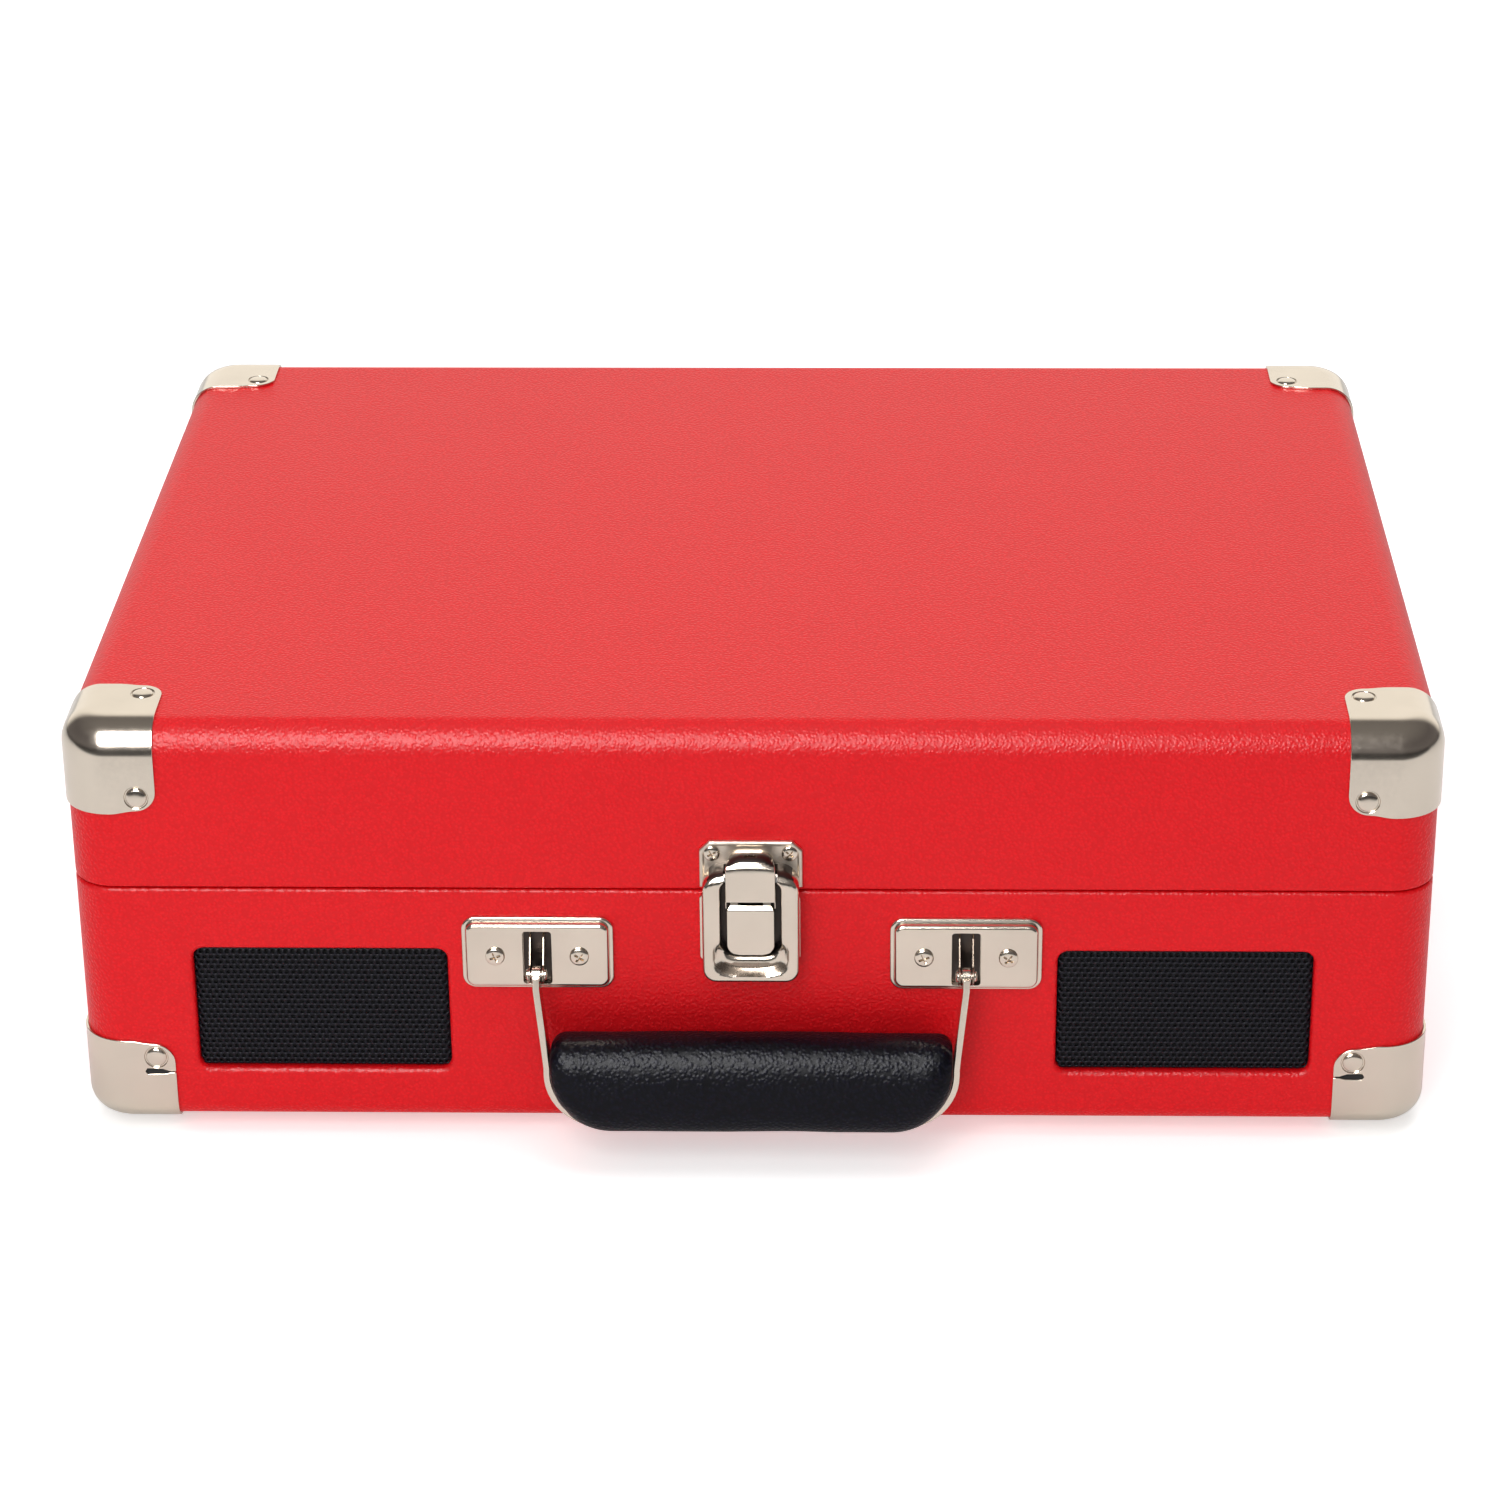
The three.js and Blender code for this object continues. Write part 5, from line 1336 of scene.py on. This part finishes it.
def add_platter():
    x, y = PLATTER_AXIS.x, PLATTER_AXIS.y
    radius = (PLATTER_HIGH.x - PLATTER_LOW.x) / 2
    low, high = PLATTER_LOW.z, PLATTER_HIGH.z
    top = high - 3  # underside of the dish's floor
    rim = ring_of(PLATTER_BORE, radius, high - 5.4, high, 0.9)
    rim[0:1] = [(PLATTER_BORE, top), (radius - 3, top), (radius - 3, high - 5.4)]
    hub = ring_of(PLATTER_BORE, 8, low, high - 2.9, 0.4)
    track = [(BELT_TRACK - 3, top), (BELT_TRACK - 3, low), (BELT_TRACK, low), (BELT_TRACK, top)]
    parts = [lathe(profile, x, y, 120, loop=True) for profile in (rim, hub, track)]
    make("platter_dish", merged(*parts), SATIN_BLACK, "platter", "black_plastic", replaces=["platter"])
    mat = lathe(mat_profile(), x, y, 120, loop=True)
    make("mat_ribs", mat, RUBBER, "platter", "rubber", replaces=["slip_mat"], angle=28)


def add_spindle():
    low, high = corners("spindle")
    r = 3.55
    cap = [(r * math.cos(a), high.z - 2.2 + 2.2 * math.sin(a)) for a in quarter_turn(8)[:-1]]
    profile = [(0.1, low.z), (4.6, low.z), (5, low.z + 0.4), (5, 60), (9, 60), (9, 62.7), (5, 62.7)]
    profile += [(5, ON_DECK), (7.1, ON_DECK), (7.5, ON_DECK + 0.3), (7.5, 67.0), (r, 67.1)]
    profile += cap + [(0.1, high.z)]
    turned_piece("spindle_post", profile, "spindle", STEEL, "steel", 48, angle=40)


def add_adapter():
    axis = middle("single_adapter")
    low, high = corners("single_adapter")
    radius = (high.x - low.x) / 2
    z0, z1 = low.z, high.z
    profile = [(3.8, z0), (radius - 2, z0), (radius - 0.5, z0 + 0.6), (radius, z0 + 1.6)]
    profile += [(radius, z1 - 1.6), (radius - 0.6, z1 - 0.5), (radius - 2, z1), (radius - 4, z1)]
    profile += [(radius - 4.6, z1 - 0.6), (9.4, z1 - 0.6), (8.8, z1), (5, z1), (3.8, z1 - 0.8)]
    part = lathe(profile, axis.x, axis.y, 72, loop=True)
    make("adapter_disc", part, SATIN_BLACK, "adapter", "black_plastic",
         replaces=["single_adapter"], angle=40)


def knurled(x, y, radius, ribs, depth):
    """An outline with ribs round it, each of them of six points."""
    def outline(inset=0):
        points = []
        for i in range(ribs * 6):
            wave = 0.5 + 0.5 * math.cos(2 * math.pi * i / 6)
            r = radius - inset - depth * (1 - wave ** 0.6)
            a = 2 * math.pi * i / (ribs * 6)
            points.append((x + r * math.cos(a), y + r * math.sin(a)))
        return points

    return outline


def add_volume_knob():
    axis = middle("volume_knob")
    low, high = corners("volume_knob")
    top = high.z
    grip = knurled(axis.x, axis.y, 9.5, 30, 0.5)
    levels = [(0.3, ON_DECK), (0, ON_DECK + 0.4), (0.25, top - 1.6), (0.5, top - 1.0), (1.0, top - 0.7)]
    crown = [(7.2, top - 1.2), (8.1, top - 0.9), (8.1, top - 0.5), (7.6, top), (6.6, top - 0.15)]
    crown.append((0.1, top - 0.3))
    shaft = lathe([(3, low.z), (3, ON_DECK + 1)], axis.x, axis.y, 24)
    part = merged(stack(grip, levels), lathe(crown, axis.x, axis.y, 60), shaft)
    make("volume_grip", part, BLACK_PLASTIC, "volume", "black_plastic", replaces=["volume_knob"])
    mark = rounded(axis.x - 0.5, axis.x + 0.5, axis.y - 7.0, axis.y - 3.0, 0.4, 4)
    part = stack(mark, plate(top - 0.5, top + 0.02, 0.1))
    make("volume_mark", part, WHITE_PLASTIC, "volume", "black_plastic")


def add_speed_selector():
    low, high = corners("speed_selector")
    x = middle("speed_selector").x
    y = low.y + 9
    disc = [(2, low.z), (2, ON_DECK), (6.6, ON_DECK), (7, ON_DECK + 0.4), (6.8, ON_DECK + 2.4)]
    disc += [(6.3, ON_DECK + 3), (0.1, ON_DECK + 3)]
    bar = stack(rounded(x - 1.6, x + 1.6, y - 9, y + 6, 1.5, 6), plate(ON_DECK + 1, high.z, 0.5))
    part = merged(lathe(disc, x, y, 48), bar)
    make("speed_lever", part, BLACK_PLASTIC, "speed", "black_plastic", replaces=["speed_selector"])
    dot = rounded(x - 0.5, x + 0.5, y - 8.2, y - 5.6, 0.4, 4)
    part = stack(dot, plate(high.z - 0.3, high.z + 0.02, 0.1))
    make("speed_mark", part, WHITE_PLASTIC, "speed", "black_plastic")


def add_deck_sockets():
    for node in ("headphone_socket", "line_in_socket"):
        axis = middle(node)
        low, high = corners(node)
        top = high.z
        body = [(1.8, low.z), (3.7, low.z), (3.7, ON_DECK), (4.7, ON_DECK), (5, ON_DECK + 0.3)]
        body += [(5, top - 0.5), (4.6, top), (3.2, top), (2.8, top - 0.5), (1.8, top - 0.5)]
        turned_piece(f"{node}_bezel", body, node, BLACK_PLASTIC, "black_plastic", 40, loop=True)
        liner = [(1.75, top - 6), (2.7, top - 6), (2.7, top - 0.3), (2.4, top - 0.1), (1.75, top - 0.3)]
        part = lathe(liner, axis.x, axis.y, 32, loop=True)
        make(f"{node}_liner", part, NICKEL, "base", "nickel")


def add_power_lamp():
    low, high = corners("power_lamp")
    foot = ON_DECK + 0.3
    lens = [(1.5, low.z), (1.5, ON_DECK)]
    lens += [(2.0 * math.cos(a), foot + (high.z - foot) * math.sin(a)) for a in quarter_turn(6)[:-1]]
    lens.append((0.1, high.z))
    turned_piece("lamp_lens", lens, "power_lamp", RED_PLASTIC, "red_plastic", 28)


def add_feet():
    for depth in ("front", "back"):
        for hand in ("left", "right"):
            node = f"foot_{depth}_{hand}"
            axis = middle(node)
            low, high = corners(node)
            r, z = (high.x - low.x) / 2, low.z
            profile = [(2.6, z + 1.4), (2.8, z), (r - 2.2, z), (r - 1.4, z + 0.3), (r - 1.0, z + 1.0)]
            profile += [(r - 0.1, high.z - 0.7), (r - 0.1, high.z), (2.6, high.z)]
            turned_piece(f"{node}_pad", profile, node, RUBBER, "rubber", 48, loop=True, angle=40)
            head = [(0.1, z + 1.5), (1.6, z + 1.5), (2.5, z + 2.0), (2.5, z + 2.3), (0.1, z + 2.3)]
            make(f"{node}_screw", lathe(head, axis.x, axis.y, 24), STEEL, "base", "steel")


ARM_AXIS = middle("arm_base")
ARM_LOW, ARM_HIGH = corners("tonearm")
ARM_Z = (ARM_HIGH.z + ARM_LOW.z) / 2


def along_arm(u, v, y):
    return Vector((ARM_AXIS.x + u, y, ARM_Z + v))


def across_arm(u, v, x):
    return Vector((ARM_AXIS.x + x, ARM_AXIS.y + u, ARM_Z + v))


def add_tonearm():
    """The tube with its counterweight, the head shell, the pivot block and its pin."""
    tip, tail = ARM_LOW.y, ARM_HIGH.y
    back = tip + 34  # where the head shell ends and the tube starts
    tube = [(0.1, back - 4), (3.2, back - 3.8), (4.2, back), (4.2, tail - 15), (4.9, tail - 14.6)]
    tube += [(4.9, tail - 14.1), (4.2, tail - 13.8), (7.2, tail - 13.9), (8, tail - 13.1)]
    tube += [(8, tail - 10.6), (7.5, tail - 10.2), (7.5, tail - 9.6), (8, tail - 9.2)]
    tube += [(8, tail - 0.9), (7.1, tail), (3, tail), (2.6, tail - 0.6), (0.1, tail - 0.6)]
    shell = []
    for y, half_width, half_height in (
        (back + 0.5, 3.9, 2.6), (back - 2, 4.8, 2.9), (back - 8, 7.9, 3), (back - 12, 8, 3),
        (tip + 5, 8, 3), (tip + 2, 7.4, 2.8), (tip + 0.6, 6, 2.3), (tip + 0.1, 5, 1.7),
    ):
        corner = min(1.6, half_height - 0.1)
        section = rounded(-half_width, half_width, -half_height, half_height, corner, 5)()
        shell.append([along_arm(u, v, y) for u, v in section])
    block = stack(rounded(-8, 8, -4.6, 4.6, 1.2, 5), plate(-6, 6, 0.6), across_arm)
    pin = [(0.3, -8.6), (1.0, -8.5), (1.2, -8.2), (1.2, 8.2), (1.0, 8.5), (0.3, 8.6)]
    part = merged(lathe(tube, 0, 0, 40, along_arm), skin(shell), block, lathe(pin, 0, 0, 20, across_arm))
    make("arm_tube", part, SATIN_BLACK, "arm", "black_plastic", replaces=["tonearm"], angle=40)
    lift = []
    for x, rise in ((7, 0), (9, 0.1), (12, 0.3), (14, 0.5), (14.9, 0.5)):
        centre = along_arm(x, rise - 0.3, tip + 15)
        lift.append((centre, BACKWARDS, UPWARDS, 2.8 - x * 0.06, 0.55))
    make("finger_lift", ribbon(lift, 0.3), SATIN_BLACK, "arm", "black_plastic")


def add_arm_base():
    low, high = corners("arm_base")
    top = high.z
    profile = [(7, low.z), (7, ON_DECK), (19.4, ON_DECK), (20, ON_DECK + 0.5), (20, ON_DECK + 1.6)]
    profile += [(19, ON_DECK + 2.2), (13.6, ON_DECK + 3.3), (12.1, ON_DECK + 4.6), (11.2, ON_DECK + 7)]
    profile += [(11, top - 0.4), (10.5, top), (0.1, top)]
    turned_piece("arm_pedestal", profile, "arm_base", BLACK_PLASTIC, "black_plastic", 64)


def add_line_outputs():
    """The two round outputs of the rear socket panel: a coloured ring and a plated barrel each."""
    low, high = corners("socket_panel")
    z = (low.z + high.z) / 2
    ring = [(4.3, -2.9), (5.4, -2.9), (5.4, -0.6), (5.1, -0.2), (4.3, -0.2)]
    barrel = [(1.75, -2.5), (4.15, -2.5), (4.15, 4.2), (3.9, 4.52), (2.1, 4.52), (1.75, 4.2)]
    for x, look in ((low.x + 11.7, WHITE_PLASTIC), (low.x + 27.7, RED_PLASTIC)):
        def place(u, v, proud, x=x):
            return Vector((x + u, BACK + proud, z + v))

        part = lathe(ring, 0, 0, 36, place, loop=True)
        make(f"line_ring_{look.name}", part, look, "base", "black_plastic")
        part = lathe(barrel, 0, 0, 36, place, loop=True)
        make(f"line_barrel_{look.name}", part, NICKEL, "base", "nickel")


def add_hinge_screws():
    for half, up in (("base", -1), ("lid", 1)):
        spots = []
        for hand in ("left", "right"):
            low, high = corners(f"hinge_{half}_leaf_{hand}")
            x = (low.x + high.x) / 2
            far = low.z if up < 0 else high.z
            for offset, inward in ((-10.5, 5), (10.5, 5), (0, 11.5)):
                spot = Vector((x + offset, BACK + 1.5, far - up * inward))
                spots.append((spot, BACKWARDS, 0.4 + offset * 0.07))
        add_screws(f"hinge_screws_{half}", half, 2.3, 0.9, spots)


def add_deck_screws():
    low, high = corners("deck_plate")
    spots = []
    for x in (low.x + 8, high.x - 8):
        for y in (low.y + 8, high.y - 8):
            spots.append((Vector((x, y, DECK_TOP)), UPWARDS, 0.3 + x * 0.01 + y * 0.02))
    add_screws("deck_screws", "base", 2.4, 0.9, spots)


def add_inside():
    add_platter()
    add_spindle()
    add_adapter()
    add_volume_knob()
    add_speed_selector()
    add_deck_sockets()
    add_power_lamp()
    add_arm_base()
    add_tonearm()
    add_deck_screws()


# ---- what the case still shows of the CAD nodes --------------------------------------------

def dress_cad_nodes():
    """The CAD nodes that keep their shape: their materials, shading and slightly rounded edges."""
    looks = {
        NICKEL: [
            "hinge_base_leaf_left", "hinge_base_leaf_right", "hinge_lid_leaf_left", "hinge_lid_leaf_right",
        ],
        STEEL: ["hinge_pin_left", "hinge_pin_right", "latch_lever_pin", "motor"],
        BLACK_PLASTIC: [
            "socket_panel", "arm_yoke", "arm_rest", "arm_clip", "cue_guide", "lift_bar", "cue_lever",
            "auto_stop_switch", "motor_pulley",
        ],
        RUBBER: ["drive_belt"],
        BOARD_GREEN: ["circuit_board"],
        RED_PLASTIC: ["cartridge"],
        DECK_HIDE: ["deck_plate"],
        CONE_PAPER: ["speaker_left", "speaker_right"],
    }
    for look, nodes in looks.items():
        for node in nodes:
            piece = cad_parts[node]
            piece.data.materials.clear()
            piece.data.materials.append(look)
            shade(piece, 30, 0.15)


# ---- putting it together -------------------------------------------------------------------

bpy.context.scene.view_settings.view_transform = "Standard"
make_camera()
make_lights()
make_world()
make_floor()
add_case()
add_window_lips()
add_grilles()
add_guards()
add_brackets()
add_bracket_screws()
add_strap()
add_grip()
add_latch()
add_feet()
add_line_outputs()
add_hinge_screws()
add_inside()
dress_cad_nodes()
